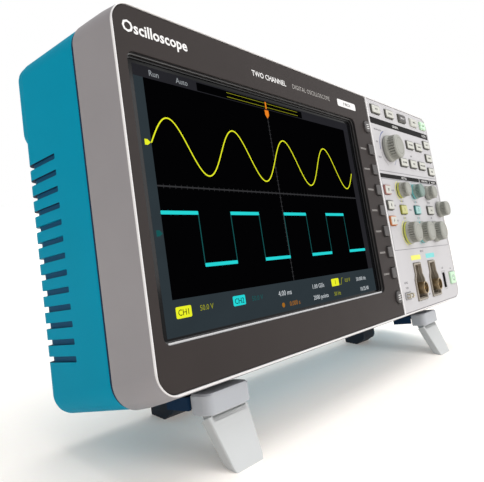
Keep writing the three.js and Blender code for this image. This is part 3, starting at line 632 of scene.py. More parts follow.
def panel_print():
    bands = [flat(rounded(*band, 0.2, 1)) for band in (
        (59.9, 182.8, 149, 154.2), (59.9, 139.4, 105.4, 108.8), (140.6, 164.4, 105.4, 108.8),
        (165.6, 182.8, 105.4, 108.8))]
    frames = [line([(60.4, 111), (182.6, 111)], 0.45), frame_line(60.6, 182.6, 48.4, 105, 1.2, 0.45),
              frame_line(150.4, 158.8, 10.4, 26.4, 1.0, 0.3)]
    captions = [lettering(*row, PLATE_FRONT - 0.05) for row in (
        ("GENERAL", 108, 151.6, 3.0), ("SYSTEM", 174, 151.6, 3.0), ("VERTICAL", 106, 107.1, 2.5),
        ("HORIZONTAL", 152.5, 107.1, 2.4), ("TRIGGER", 174, 107.1, 2.4))]
    words = [lettering(*row, PLATE_FRONT) for row in (
        ("MULTIPURPOSE", 70.6, 144.6, 1.9), ("FINE", 65.6, 134.5, 1.9), ("SELECT", 66.4, 122, 1.9),
        ("MATH", 78, 95.8, 2.0), ("REF", 77.4, 83.6, 2.0), ("FFT", 77.4, 71.4, 2.0),
        ("POSITION", 91.8, 87.4, 1.7), ("POSITION", 121.3, 87.4, 1.7), ("POSITION", 151.8, 87.4, 1.7),
        ("VOLTS", 91.8, 73.6, 1.8), ("VOLTS", 121.3, 73.6, 1.8), ("TIME", 151.8, 73.6, 1.8),
        ("LEVEL", 175, 93.4, 1.9), ("MENU", 106.6, 80.4, 2.0), ("INPUTS", 113.8, 45.8, 2.2),
        ("FINE", 131.8, 128.4, 1.9), ("1 kHz", 70.3, 19.6, 2.4), ("PROBE", 70.3, 23.4, 2.2),
        ("USB", 154.6, 29, 2.2), ("300 V", 113.8, 10.4, 1.9), ("ON", 174.6, 27.2, 2.0))]
    centre = centre_of("multipurpose_knob")
    blue = [line(arc(*centre, 14.6, 104, 186, 20), 0.8), line(arc(*centre, 14.6, -60, 40, 20), 0.35)]
    words.append(line(arc(*centre, 14.6, 196, 250, 14), 0.35))
    show("panel_print", [(bands, PRINT_DARK), (frames, PRINT_GREY), (captions, PRINT_LIGHT),
                         (words, PRINT_GREY), (blue, PRINT_BLUE), (channel_marks(1), PRINT_YELLOW),
                         (channel_marks(2), PRINT_CYAN)])


def channel_marks(k):
    """The coloured bar over an input, and lines that tie the channel's key to its two knobs."""
    key_z = centre_of(f"channel_{k}_button")[1]
    half_key = 5.4
    marks = [flat(centred(INPUT_XS[k - 1] + 1, 41.4, 20, 3.8, 0.4))]
    for name, toward in ((f"channel_{k}_position_knob", 1), (f"channel_{k}_scale_knob", -1)):
        x, z = centre_of(name)
        left, right = front_box(name)[:2]
        reach = (right - left) / 2 + 1.1
        marks.append(line([(x, key_z + toward * half_key), (x, z - toward * reach)], 0.6))
        marks.append(line(arc(x, z, reach, 110, 250, 20), 0.7))
    return marks


def bezel_print():
    """Guide lines from the display to its keys, and plain generic lettering."""
    dashes = []
    for name in BEZEL_KEYS:
        if name.startswith("soft"):
            z = centre_of(name)[1]
            dashes += [line([(34.4, z + dz), (43.4, z + dz)], 0.35) for dz in (-0.35, 0.35)]
    titles = [lettering("Oscilloscope", -179.3, 158.9, 7.7, PLATE_FRONT, align="LEFT", weight=0.16),
              lettering("TWO CHANNEL", -88, 157, 4.6, PLATE_FRONT, align="LEFT", weight=0.05)]
    kind = lettering("DIGITAL OSCILLOSCOPE", -47, 157, 4.2, PLATE_FRONT, align="LEFT")
    pill = flat(centred(24, 156.9, 27, 5.2, 1.2))
    size = lettering("9 INCH", 24, 156.9, 3.4, PLATE_FRONT - 0.05)
    show("bezel_print", [(dashes, PRINT_SOFT), (titles, PRINT_LIGHT), (kind, PRINT_SOFT),
                         (pill, PRINT_LIGHT), (size, PRINT_DARK)])


# ---------- display ----------
GLASS_FRONT = 3.9
TRACES = (5.6, 192.6, 15.5, 115.4)  # the black field inside the lit area
PERIOD = 47.0


def on_picture(points):
    return [(PICTURE[0] + x, PICTURE[1] + z) for x, z in points]


def front_of(level):
    """Where a layer of the picture starts; a higher level lies nearer the viewer."""
    return GLASS_FRONT - 0.04 - 0.03 * level


def lit(outline, level):
    return plate(on_picture(outline), front_of(level), GLASS_FRONT - 0.01, edge=0.004, segments=1)


def lit_line(points, width, level):
    front = GLASS_FRONT - 0.03
    return line(on_picture(points), width, front, front - front_of(level))


def lit_text(text, x, z, size, level=3, align="CENTER"):
    place = on_picture([(x, z)])[0]
    return lettering(text, *place, size, front_of(level), align=align)


def arrow(z):
    """A marker at the left edge of the picture, pointing right."""
    return [(1.8, z + 1.3), (3.4, z + 1.3), (5.2, z), (3.4, z - 1.3), (1.8, z - 1.3)]


def graticule():
    """Two axes with five ticks to each of ten divisions across and eight up."""
    left, right, low, high = TRACES
    x, z = middle_of(TRACES)
    made = [lit_line([(left, z), (right, z)], 0.7, 2), lit_line([(x, low), (x, high)], 0.5, 2)]
    for k in range(1, 50):
        tick = left + (right - left) * k / 50
        made.append(lit_line([(tick, z - 1), (tick, z + 1)], 0.25, 2))
    for k in range(1, 40):
        tick = low + (high - low) * k / 40
        made.append(lit_line([(x - 1, tick), (x + 1, tick)], 0.25, 2))
    return made


def sine_wave(zero, height=13, count=160):
    left, right = TRACES[:2]
    points = []
    for k in range(count + 1):
        run = (right - left) * k / count
        points.append((left + run, zero + height * math.sin(2 * math.pi * run / PERIOD)))
    return lit_line(points, 0.65, 4)


def square_wave(bottom=29.0, top=53.5, thick=1.7):
    """The bright level parts and the dim edges of a square wave."""
    edge, right = TRACES[:2]
    flats, rises = [], []
    level = top
    while edge < right:
        end = min(edge + PERIOD / 2, right)
        flats.append(lit(rounded(edge, end, level - thick / 2, level + thick / 2, 0.2, 1), 4))
        if end < right:
            rises.append(lit_line([(end, bottom), (end, top)], 0.55, 3))
        edge, level = end, bottom if level == top else top
    return flats, rises


def picture_background():
    left, right, low, high = TRACES
    width, height = PICTURE_SIZE
    whole = lit(rounded(0, width, 0, height, 0.3, 2), 0)
    field = lit(rounded(left, right, low, high, 0.1, 1), 1)
    memory_bar = lit(rounded(41, 138, 115.8, 120.2, 0.4, 2), 2)
    title_bar = lit(rounded(0, width, high, height, 0.2, 1), 1)
    right_strip = lit(rounded(right, width, low, high - 0.1, 0.2, 1), 1)
    show("picture_background", [(whole, PICTURE_SLATE), ([field, memory_bar], PICTURE_BLACK),
                                ([title_bar, right_strip], PICTURE_TITLE_BAR),
                                (graticule(), PICTURE_GRID)])


def trigger_mark():
    """A marker over the middle of the traces: a head that points down, and a stem over it."""
    x, top = middle_of(TRACES)[0], TRACES[3]
    head = ((-1.8, -0.4), (-1.8, -3.4), (0, -5.4), (1.8, -3.4), (1.8, -0.4))
    return [lit([(x + dx, top + dz) for dx, dz in head], 4),
            lit_line([(x, top + 0.4), (x, top + 4.6)], 1.2, 4)]


def picture_traces():
    """Two waves with their zero markers, and the numbers round them."""
    zero_1, zero_2 = 84.9, 44.2
    flats, rises = square_wave()
    edge_sign = [(150, 8.6), (151.4, 8.6), (152.8, 12.4), (154.2, 12.4)]
    yellow = [sine_wave(zero_1), lit(arrow(zero_1), 4), lit(rounded(6.8, 16.2, 7.3, 12.3, 0.7, 3), 3),
              lit(rounded(139.6, 148.6, 8.2, 12.8, 0.6, 3), 3)]
    dim_yellow = [lit_text("50.0 V", 21.5, 10.2, 3.5, align="LEFT"), lit_text("50 Hz", 144.6, 3.6, 3.4),
                  lit_line(edge_sign, 0.45, 3), lit_text("0.0 V", 160, 10.6, 3.4)]
    dim_yellow += [lit_line([(64, z), (133, z)], 0.25, 3) for z in (119.2, 116.9)]
    cyan = flats + [lit(rounded(44.8, 54.2, 7.9, 12.7, 0.7, 3), 3)]
    hollow = lit_line(arrow(zero_2) + arrow(zero_2)[:1], 0.4, 4)
    dim_cyan = rises + [lit_text("50.0 V", 59.4, 10, 3.5, align="LEFT"), hollow]
    dim_orange = [lit_text("0.000 s", 96.6, 3.6, 3.6), lit(arc(85.5, 3.6, 1.3, 0, 330, 11), 3)]
    white = [lit_text(*row) for row in (
        ("4.00 ms", 88.7, 9.9, 4.0), ("1.00 GS/s", 123.4, 10.3, 3.6), ("2000 points", 125, 3.9, 3.6),
        ("50.000 Hz", 178.8, 9.9, 3.4), ("10:25:40", 181.4, 3.1, 3.6))]
    grey = [lit_text("Run", 12.5, 118.2, 4.0), lit_text("Auto", 30.5, 118.2, 4.0)]
    ink = [lit_text(*row, 3.8, 4) for row in (("CH1", 11.5, 9.8), ("CH2", 49.5, 10.2), ("1", 144.1, 10.5))]
    show("picture_traces", [
        (yellow, PICTURE_YELLOW), (cyan, PICTURE_CYAN), (dim_cyan, PICTURE_DIM_CYAN),
        (trigger_mark(), PICTURE_ORANGE), (dim_yellow, PICTURE_DIM_YELLOW), (dim_orange, PICTURE_DIM_ORANGE),
        (white, PICTURE_WHITE), (grey, PICTURE_GREY), (ink, PICTURE_INK)])


# ---------- controls ----------
BEZEL_KEYS = ["menu_button", "menu_off_button"] + [f"soft_key_{k}" for k in range(1, 8)]
KNOBS = sorted(name for name in frame["nodes"] if name.endswith("_knob"))
PANEL_KEYS = sorted(name for name in frame["nodes"] if name.endswith("_button") and name not in BEZEL_KEYS)
KEY_PROUD, KEY_BACK = 1.5, 4.2
RIB_COUNT = 26
FLANGE = 0.8  # how much wider a CAD key is behind the panel than its cap is
CAPS = {name: tuple(edge + way * FLANGE for edge, way in zip(front_box(name), (1, -1, 1, -1)))
        for name in BEZEL_KEYS + PANEL_KEYS}
INPUT_XS = [centre_of(f"probe_socket_{k}")[0] for k in (1, 2)]

# Each panel key's side colour, face colour and label; a side colour darker than its face is painted shade on
# the key's side walls.
KEY_LOOKS = {f"{word}_button": (KEY_SHADED_SIDE, KEY_LIGHT, word.upper()) for word in (
    "save", "cursor", "utility", "help", "measure", "search", "acquire", "test", "function")}
KEY_LOOKS.update({
    "default_button": (KEY_SHADED_SIDE, KEY_DARK, "DEFAULT"),
    "single_button": (KEY_LIGHT, KEY_LIGHT, "SINGLE"),
    "run_stop_button": (KEY_GREEN, KEY_GREEN, "RUN"),
    "autoset_button": (KEY_SHADED_SIDE, KEY_LIGHT, "AUTO"),
    "math_button": (KEY_RED, KEY_LIGHT, "M"),
    "reference_button": (KEY_SHADED_SIDE, KEY_LIGHT, "R"),
    "fft_button": (KEY_ORANGE, KEY_LIGHT, "F"),
    "channel_1_button": (SHADED_SIDE_YELLOW, FACE_YELLOW, "1"),
    "channel_2_button": (SHADED_SIDE_CYAN, FACE_CYAN, "2"),
    "horizontal_button": (KEY_SHADED_SIDE, KEY_LIGHT, "ACQ"),
    "power_button": (KEY_GREEN, KEY_GREEN, ""),
})


def show_key(name, parts):
    show(f"{name}_cap", parts, body=name, replaces=[name])


def stem_of(name):
    """A key's flange behind the panel, and the stem that reaches its switch."""
    low, high = node_box(name)
    left, right, under, over = CAPS[name]
    return [block((low.x, 3.9, low.z), (high.x, 5.1, high.z), 0.2, 1),
            block((left + 1, 5, under + 1), (right - 1, high.y, over - 1), 0.3, 1)]


def panel_key(name):
    side, top, label = KEY_LOOKS[name]
    front = PLATE_FRONT - KEY_PROUD
    base = plate(inset(CAPS[name], 0, 1.2, 5), front + 0.35, KEY_BACK, edge=0.25)
    cap = plate(inset(CAPS[name], 0.6, 1.1, 5), front, front + 0.9, edge=0.35, segments=3)
    x, z = middle_of(CAPS[name])
    if label:
        size = 3.6 if len(label) == 1 else 2.1
        mark = (lettering(label, x, z, size, front), PRINT_LIGHT if top is KEY_DARK else PRINT_DARK)
    else:
        mark = (power_mark(x, z, front), PRINT_GREY)
    show_key(name, [([base, *stem_of(name)], side), (cap, top), mark])


def power_mark(x, z, front):
    """The usual sign for on and standby: a bar in an open ring."""
    return [flat(centred(x, z + 1.6, 0.7, 3.0, 0.3), front),
            line(arc(x, z, 2.6, 125, 415, 24), 0.65, front)]


def soft_key(name):
    """A dark bar key with a ridge round its face."""
    front = PLATE_FRONT - KEY_PROUD
    base = plate(inset(CAPS[name], 0, 1.2, 5), front + 0.1, KEY_BACK, edge=0.45, segments=3)
    ridge = plate(inset(CAPS[name], 0.9, 0.8), front, front + 0.6, edge=0.2,
                  holes=[inset(CAPS[name], 1.5, 0.5)])
    show_key(name, [([base, ridge, *stem_of(name)], KEY_DARK)])


def menu_key(name):
    """A round dark key with three light bars."""
    left, right = CAPS[name][:2]
    x, z = middle_of(CAPS[name])
    radius = (right - left) / 2
    front = PLATE_FRONT - KEY_PROUD
    body = turned([(0, front + 0.15), (radius * 0.6, front + 0.02), (radius - 0.9, front),
                   (radius - 0.35, front + 0.2), (radius - 0.05, front + 0.7), (radius, front + 1.2),
                   (radius, KEY_BACK), (0, KEY_BACK)], x, z)
    bars = [line([(x - 1.9, z + dz), (x + 1.9, z + dz)], 0.55, front + 0.02, 0.07) for dz in (-1.5, 0, 1.5)]
    show_key(name, [([body, *stem_of(name)], KEY_DARK), (bars, PRINT_LIGHT)])


def knob(name):
    """A ribbed barrel with a domed face on a flared skirt."""
    x, z = centre_of(name)
    low, high = node_box(name)
    radius, face, back = (high.x - low.x) / 2, low.y, high.y
    skirt = PLATE_FRONT - 0.6
    grip_start, grip_end = face + 1.3, skirt - 2.8

    def ribs(angle, y):
        if not grip_start - 0.01 <= y <= grip_end + 0.01:
            return 0
        depth = min(1, max(0, min(y - grip_start, grip_end - y) / 0.8))
        return 0.13 * radius * depth * (0.5 + 0.5 * math.cos(angle * RIB_COUNT)) ** 1.6

    cap = [(0, face + 0.25), (0.4, face + 0.12), (0.62, face), (0.76, face + 0.12), (0.83, face + 0.45),
           (0.865, face + 0.95), (0.875, grip_start), (0.88, grip_start + 0.8), (0.905, grip_end - 0.8),
           (0.91, grip_end), (0.93, skirt - 2.5), (0.97, skirt - 2.2), (1, skirt - 1.8), (1, skirt - 1.55)]
    shaft = [(3.2, skirt - 1.5), (3, skirt - 1.4), (3, back), (0, back)]
    barrel = turned([(radius * share, y) for share, y in cap] + shaft, x, z, RIB_COUNT * 7, ribs)
    skirt_ring = ring_turned([(3.2, skirt - 1.5), (radius, skirt - 1.5), (radius, skirt - 0.15),
                              (radius * 0.97, skirt), (3.2, skirt)], x, z, 64)
    # A thin dark ring on the face: painted shade of a groove.
    groove = ring_turned([(radius * 0.58, face + 0.1), (radius * 0.58, face), (radius * 0.6, face),
                          (radius * 0.6, face + 0.1)], x, z, 64)
    grip = KNOB_TEAL if name == "channel_2_position_knob" else KNOB
    color = {"1": SKIRT_YELLOW, "2": SKIRT_CYAN}.get(name.split("_")[1], KNOB)
    show(f"{name}_grip", [(barrel, grip), (skirt_ring, color), (groove, KNOB_GROOVE_SHADE)], body=name,
         replaces=[name], smooth=38)


# ---------- connectors ----------
WELL_FRONT, WELL_FLOOR, WELL_WALL = -0.6, 11.4, 1.4


def probe_well(k):
    """An input's metal well, with a block of contacts at its top."""
    x = INPUT_XS[k - 1]
    walls = plate(input_outline(x, 0), WELL_FRONT, WELL_FLOOR + 1.6, edge=0.35,
                  holes=[input_outline(x, -WELL_WALL)])
    within = input_outline(x, -0.6)
    ledge = plate(within, 1.6, 2.2, edge=0.15, holes=[input_outline(x, -WELL_WALL - 0.5)])
    floor = plate(within, WELL_FLOOR, WELL_FLOOR + 1.5, edge=0.1, holes=[circle(x, INPUT_Z, 5.2)])
    head = about((x, 31.7), 4.4, 2.7, 4.4, WELL_FLOOR + 0.5, 0.4)
    pads = [about((x - 2.9 + 1.9 * i, 31.7), 0.6, 1.9, 4.25, 4.6, 0.08, 1) for i in range(4)]
    show(f"probe_socket_{k}_well", [([walls, ledge, floor, head], SOCKET), (pads, GOLD)],
         replaces=[f"probe_socket_{k}"])


def bnc_jack(k):
    """The bayonet jack that stands in an input's well."""
    x = INPUT_XS[k - 1]
    washer = turned([(4.8, 9.7), (7.4, 9.7), (7.6, 9.9), (7.6, 11), (4.8, 11)], x, INPUT_Z)
    nut = plate(circle(x, INPUT_Z, 7.2, 6), 7.6, 9.8, edge=0.25)
    barrel = ring_turned([(4.05, -3.8), (4.2, -4), (4.65, -4), (4.8, -3.8), (4.8, 3.4), (5.3, 3.6),
                          (5.3, 4.6), (4.8, 4.8), (4.8, 19.8), (4.05, 19.8)], x, INPUT_Z)
    insulator = ring_turned([(1.1, -0.6), (1.1, -0.9), (2.3, -0.9), (2.4, -0.7), (2.4, 5), (4.05, 5),
                             (4.05, 10), (1.1, 10)], x, INPUT_Z)
    pin = ring_turned([(0.55, -2.2), (0.7, -2.4), (1.05, -2.4), (1.1, -2.2), (1.1, 9), (0.55, 9)],
                      x, INPUT_Z, 24)
    lugs = [bar(x + side * 5.0, -0.6, INPUT_Z, 1, 1.8) for side in (-1, 1)]
    show(f"bnc_jack_{k}_metal", [([washer, nut, barrel, *lugs], BRASS), (insulator, INSULATOR), (pin, GOLD)],
         replaces=[f"bnc_jack_{k}"])


def usb_host():
    """A metal can with a dark lining that is painted shade inside it, and a tongue with four contacts in it.
    """
    low, high = node_box("usb_host_port")
    x, z = centre_of("usb_host_port")

    def within(wall, front, back):
        return block((low.x + wall, front, low.z + wall), (high.x - wall, back, high.z - wall), 0)

    can = cut(block(low, high, 0.3), within(0.9, -2, 15.6))
    # Painted shade: a dark sheet inside the can where its inner walls lie in shade.
    lining = cut(within(0.85, low.y + 0.4, 15.7), within(1.1, -2, 15.4))
    tongue = about((x + 1.15, z), 0.85, 5.4, 5.2, 15.7, 0.2)
    contacts = [about((x + 0.25, z - 3.5 + 2.3 * i), 0.15, 0.4, 5.8, 15, 0.05, 1) for i in range(4)]
    show("usb_host_can", [(can, NICKEL), (lining, SHADOWED_METAL), (tongue, BLACK_PLASTIC), (contacts, GOLD)],
         replaces=["usb_host_port"])


def comp_terminal():
    """Two spring clips on one insulator: a bent wire loop each."""
    x, z = centre_of("probe_comp_terminal")
    base = plate(inset(front_box("probe_comp_terminal"), 0, 1), -0.2, 8, edge=0.25)
    outer = rounded(-3, 1.0, z - 1.8, z + 1.8, (0.3, 1.2, 1.2, 0.3), 5)
    inner = rounded(-2.1, 0.6, z - 0.9, z + 0.9, (0.2, 0.5, 0.5, 0.2), 5)
    clips = []
    for offset in (-3, 3):
        loop = plate(outer, -1, 1, edge=0.15, holes=[inner])
        loop.transform(Matrix.Translation((x + offset, 0, 0)) @ Matrix.Rotation(math.pi / 2, 4, "Z"))
        clips.append(closed(loop))
    show("probe_comp_clips", [(base, TERMINAL_GREY), (clips, NICKEL)], replaces=["probe_comp_terminal"])


# ---------- rear cover ----------
SEAM = FRAME_DEPTH + GAP
COVER_HALF, COVER_LOW, COVER_HIGH = HALF_FULL - 0.2, FULL_LOW + 0.2, FULL_HIGH - 0.2
SLOT_COUNT, SLOT_PITCH, SLOT_TOP, SLOT_HEIGHT = 13, 8, 114, 2.8
SLOT_FRONT, SLOT_REACH = 53, 172
BAY, BAY_FLOOR = (30, 104, 14, 44), 60
# The USB and the network socket: middle, size and size of the mouth.
PORTS = (((48, 28), (12, 11), (8.6, 7.8)), ((80, 28), (16, 13.6), (12, 8.4)))
INLET, SECURITY_SLOT = (-118, 40), (-159.5, 25.6)
FOOT_X, REAR_FOOT_X = 133, 115
PAD_BACK, PEDESTAL_LOW = 36, -13.5


def fillet_rings(half, low, high, radius, front, back, fillet):
    """A case ring at the front, and those of a rounded rear edge."""
    steps = 6
    rings = [case_ring(half, low, high, radius, front)]
    for k in range(steps + 1):
        angle = k * math.pi / 2 / steps
        less = fillet * (1 - math.cos(angle))
        y = back - fillet + fillet * math.sin(angle)
        rings.append(case_ring(half - less, low + less, high - less, max(radius - less, 3), y))
    return rings


def cover_shell():
    """The outer skin with its raised brow, hollowed out."""
    lead = case_rings(COVER_HALF, COVER_LOW, COVER_HIGH, (
        (0.6, 13.4, SEAM), (0.1, 13.9, SEAM + 0.5), (0, 14, SEAM + 1)))
    body = fillet_rings(COVER_HALF, REAR_LOW, COVER_HIGH, 11, SEAM, BODY_DEPTH, 6)
    brow = fillet_rings(COVER_HALF - 0.6, 124, COVER_HIGH - 0.4, 10, 68, BROW_DEPTH, 6)
    half, high = COVER_HALF - WALL, COVER_HIGH - WALL
    mouth = case_ring(half, COVER_LOW + WALL, high, 14 - WALL, SEAM - 1)
    inside = fillet_rings(half, REAR_LOW + WALL, high, 11 - WALL, SEAM, BODY_DEPTH - WALL, 4)
    return cut(join(skin(lead + body[1:]), skin(brow)), skin([mouth] + inside[1:]))


def cover_openings():
    """The port bay, its sockets, the mains inlet, the security slot and the vent slots."""
    left, right, low, high = BAY
    made = [block((left, BAY_FLOOR, low), (right, BODY_DEPTH + 5, high), 0)]
    made += [about(place, width / 2 + 0.4, height / 2 + 0.4, BAY_FLOOR - 4, BAY_FLOOR + 1)
             for place, (width, height), _ in PORTS]
    made.append(about(INLET, 14.2, 10.6, 70, BODY_DEPTH + 2))
    made.append(about(SECURITY_SLOT, 3.5, 1.6, 70, BODY_DEPTH + 2))
    middle, half = (SLOT_REACH + HALF_FULL + 5) / 2, (HALF_FULL + 5 - SLOT_REACH) / 2
    for k in range(SLOT_COUNT):
        made += [about((side * middle, SLOT_TOP - k * SLOT_PITCH), half, SLOT_HEIGHT / 2, SLOT_FRONT,
                       BODY_DEPTH + 3, 0.5) for side in (-1, 1)]
    return made


def on_bay(centre):
    left, right, low, high = BAY
    across = left - 0.1 < centre.x < right + 0.1
    return across and low - 0.1 < centre.z < high + 0.1 and centre.y > BAY_FLOOR - 0.1


def in_shade(centre, normal):
    """Whether a face of the cover gets painted shade: it is seen only from inside, or lies over a folded
    foot.
    """
    outward = normal.x * centre.x + normal.z * (centre.z - COVER_HIGH / 2)
    inward = centre.y < BODY_DEPTH and outward < -0.1
    rear_wall = normal.y < -0.5 and SEAM + 2 < centre.y < BODY_DEPTH - 1
    on_pad = centre.y < PAD_BACK + 0.1 and centre.z < -7.4
    return on_pad or ((inward or rear_wall) and not on_bay(centre) and centre.z > REAR_LOW + 1)


def rear_cover():
    left, right, low, high = BAY
    walls = block((left - 2.4, BAY_FLOOR - 2.4, low - 2.4), (right + 2.4, BODY_DEPTH - 1, high + 2.4), 0)
    shell = cut(join(cover_shell(), walls, *foot_pads()), *cover_openings())
    piece = show("rear_cover_moulding", [(shell, TEAL)], replaces=["rear_cover"],
                 smooth=30)
    # Faces seen only from inside, and the pads over the folded feet, get the dark navy copy of the teal:
    # painted shade.
    repaint(piece, SHELL_SHADE_AND_SEAM, in_shade)


def seam_gasket():
    """The dark strip that fills the joint between the frame and the rear cover."""
    front, back, deep = FRAME_DEPTH - 0.3, SEAM + 0.3, 1.0
    rings = case_rings(HALF_FULL - 0.45, FULL_LOW + 0.45, FULL_HIGH - 0.45, (
        (0, 13.6, front), (0, 13.6, back), (deep, 12.6, back), (deep, 12.6, front)))
    show("seam_gasket", [(skin(rings, loop=True), SHELL_SHADE_AND_SEAM)])


def foot_pads():
    """Under each side: a pad with two rails, and the pedestal of the rear foot."""
    solids = []
    front, top, half = 21.5, -6.9, 17.6
    for side in (-1, 1):
        x = side * FOOT_X
        solids.append(block((x - half, front, -8.5), (x + half, PAD_BACK, top), 0))
        solids.append(block((x - half, 30, -8.5), (x + half, PAD_BACK, -5), 0))
        for rail in (x - half + 1, x + half - 1):
            solids.append(block((rail - 1, front, -13), (rail + 1, PAD_BACK, top), 0))
        x = side * REAR_FOOT_X
        solids.append(block((x - 11, 60, PEDESTAL_LOW), (x + 11, 78.5, -6), 0))
    return solids


def screw(x, y, z, radius):
    """A cross-head screw seen from the rear."""
    head = turned([(0, y), (radius, y), (radius, y + 0.5), (radius * 0.7, y + 1.1), (0, y + 1.3)], x, z, 28)
    long, thin = radius * 0.6, 0.35
    return cut(head, about((x, z), thin, long, y + 0.5, y + 2), about((x, z), long, thin, y + 0.5, y + 2))


def rear_screws():
    screws = [screw(side * 166, BODY_DEPTH - 0.1, z, 3) for side in (-1, 1) for z in (12, 120)]
    screws += [screw(INLET[0] + side * 14.8, BODY_DEPTH + 2.2, INLET[1], 1.6) for side in (-1, 1)]
    show("rear_screws", [(screws, ZINC)])


def mains_inlet():
    """A flange with a box behind it, and three blades."""
    x, z = INLET
    half_width, half_height = 12, 8.1
    mouth = (x - half_width, x + half_width, z - half_height, z + half_height)
    flange = plate(centred(x, z, 34, 26, 3, 6), BODY_DEPTH + 0.3, BODY_DEPTH + 2.3, edge=0.4,
                   holes=[rounded(*mouth, (3, 3, 0.8, 0.8), 4)])
    box = cut(about(INLET, 13.8, 10.2, 62, BODY_DEPTH + 1, 0.3),
              about(INLET, half_width, half_height, 64.5, BODY_DEPTH + 4))
    blades = [about((x + dx, z + dz), 1, 2, 64, 76, 0.3) for dx, dz in ((-7, -1.5), (7, -1.5), (0, 2.5))]
    show("mains_inlet_body", [([flange, box], BLACK_PLASTIC), (blades, NICKEL)], replaces=["mains_inlet"])


def main_board():
    """Board, shield and the two sockets that reach the rear bay, with their contacts."""
    board = block((-20, 46, 10), (170, 47.6, 150), 0.1, 1)
    shield = block((78, 20.4, 7), (150, 46.2, 48), 0.6)
    chips = [about((x, z), half, half, 47.5, 49, 0.15, 1) for x, z, half in (
        (2, 128, 10), (33, 103, 7), (60, 128, 8), (131, 111, 11), (156, 66, 6))]
    cans = []
    for place, (width, height), (mouth_width, mouth_height) in PORTS:
        mouth = about(place, mouth_width / 2, mouth_height / 2, 51, 63)
        cans.append(cut(about(place, width / 2, height / 2, 47, 61.5, 0.3), mouth))
    tongue = about(PORTS[0][0], 2.4, 1.4, 51, 60, 0.2)
    x, z = PORTS[1][0]
    pins = [about((x - 3.65 + 1.02 * i, z + 2.6), 0.25, 0.4, 51, 60) for i in range(8)]
    show("main_board_assembly", [(board, BOARD), ([shield, *cans], ZINC), (chips, BLACK_PLASTIC),
                                 (tongue, INSULATOR), (pins, GOLD)], replaces=["main_board"])


def vent_shade_screen(word, side):
    """The screen that closes the vent slots of one rear corner from within, dark navy as painted shade for
    the inside seen through the slots.
    """
    behind, thick, corner = 1.5, 0.6, 6
    outer, rear = COVER_HALF - behind, BODY_DEPTH - behind
    low, high = SLOT_TOP - SLOT_COUNT * SLOT_PITCH + 2, SLOT_TOP + 4

    def path(back_off):
        bend = arc(outer - corner, rear - corner, corner - back_off, 0, 90, 6)
        return [(outer - back_off, SLOT_FRONT - 3)] + bend + [(SLOT_REACH - 3, rear - back_off)]

    outline = path(0) + path(thick)[::-1]
    rings = [[(side * x, y, z) for x, y in outline] for z in (low, high)]
    show(f"vent_shade_screen_{word}", [(skin(rings), VENT_SHADE_SCREEN)])


# ---------- feet ----------


def ground(y):
    return GROUND_AT_FRONT + y * math.tan(LEAN)


def front_foot(name, side):
    """A flip foot: a barrel on two trunnions, and a leg that narrows to its land."""
    x = side * FOOT_X
    pivot = Vector((PIVOT.y, PIVOT.z))
    tip = Vector((7, ground(7)))
    reach = (tip - pivot).length
    along = (tip - pivot).normalized()
    across = Vector((along.y, -along.x))
    shoulder, thick, steps = 5.8, 2.79, 10

    def at(distance, offset):
        return pivot + along * distance + across * offset

    def land(offset):
        """Where a line down the leg meets the ground."""
        y, z = at(reach, offset)
        return at(reach + (ground(y) - z) / (along.y - math.tan(LEAN) * along.x), offset)

    def half_width(distance):
        return 14.5 + min(0, at(distance, 0).y + 17) / 6

    rings = []
    for step in range(steps + 1):
        share = step / steps
        front, back = [at(shoulder, offset).lerp(land(offset), share) for offset in (thick, -thick)]
        half = half_width(shoulder + (reach - shoulder) * share) - (0.6 if step == steps else 0)
        rings.append([(x + u, *back.lerp(front, (v + thick) / (2 * thick)))
                      for u, v in rounded(-half, half, -thick, thick, 1.0, 3)])
    neck = extruded([at(0, thick), at(0, -thick), at(9, -thick), at(9, thick)], x - 12.5, x + 12.5, 0.6)
    barrel = soften(bar(x, PIVOT.y, PIVOT.z, 3.2, 25, 32), 0.3)
    trunnions = bar(x, PIVOT.y, PIVOT.z, 1.8, 31)
    show(f"{name}_leg", [([skin(rings), neck, barrel, trunnions], FOOT_GREY)], body=name, replaces=[name])


def foot_hood(name, side):
    """The hinge's hood: a block with rounded front corners, open below and behind."""
    x, middle_y = side * FOOT_X, 15.5
    rings = []
    for z, less in ((-15.2, 0.4), (-14.7, 0), (-6.7, 0), (-5.8, 0.9)):
        ring = []
        for px, py in rounded(x - 16, x + 16, -21, -10, (4.5, 4.5, 0.5, 0.5), 6):
            toward = Vector((x - px, middle_y + py)).normalized() * less
            ring.append((px + toward.x, toward.y - py, z))
        rings.append(ring)
    hollow = block((x - 13.2, 12, -17.2), (x + 13.2, 23, -7.4), 0)
    bore = bar(x, PIVOT.y, PIVOT.z, 2.15, 31.5)
    show(f"{name}_hood", [(cut(skin(rings), hollow, bore), HOOD_GREY)], replaces=[name])


def rear_foot(name, side):
    """A rubber foot: a rounded front and three grooves across its land."""
    x = side * REAR_FOOT_X
    top, front, back, land = PEDESTAL_LOW - GAP, 60, 78.5, 68
    nose = [(front + 5 - 5 * math.cos(a), -20 - 4.6 * math.sin(a)) for a in (0, 0.35, 0.7, 1.05, 1.4)]
    profile = [(front, top)] + nose + [(land, ground(land)), (back, ground(back)), (back, top)]
    grooves = [block((x - 12, y, ground(y) - 2), (x + 12, y + 1, ground(y + 0.5) + 0.9), 0)
               for y in (69.6, 72.2, 74.8)]
    rubber = cut(extruded(profile, x - 11, x + 11, 0.5), *grooves)
    show(f"{name}_rubber", [(rubber, RUBBER)], replaces=[name])


# ---------- what stays as the CAD model has it ----------


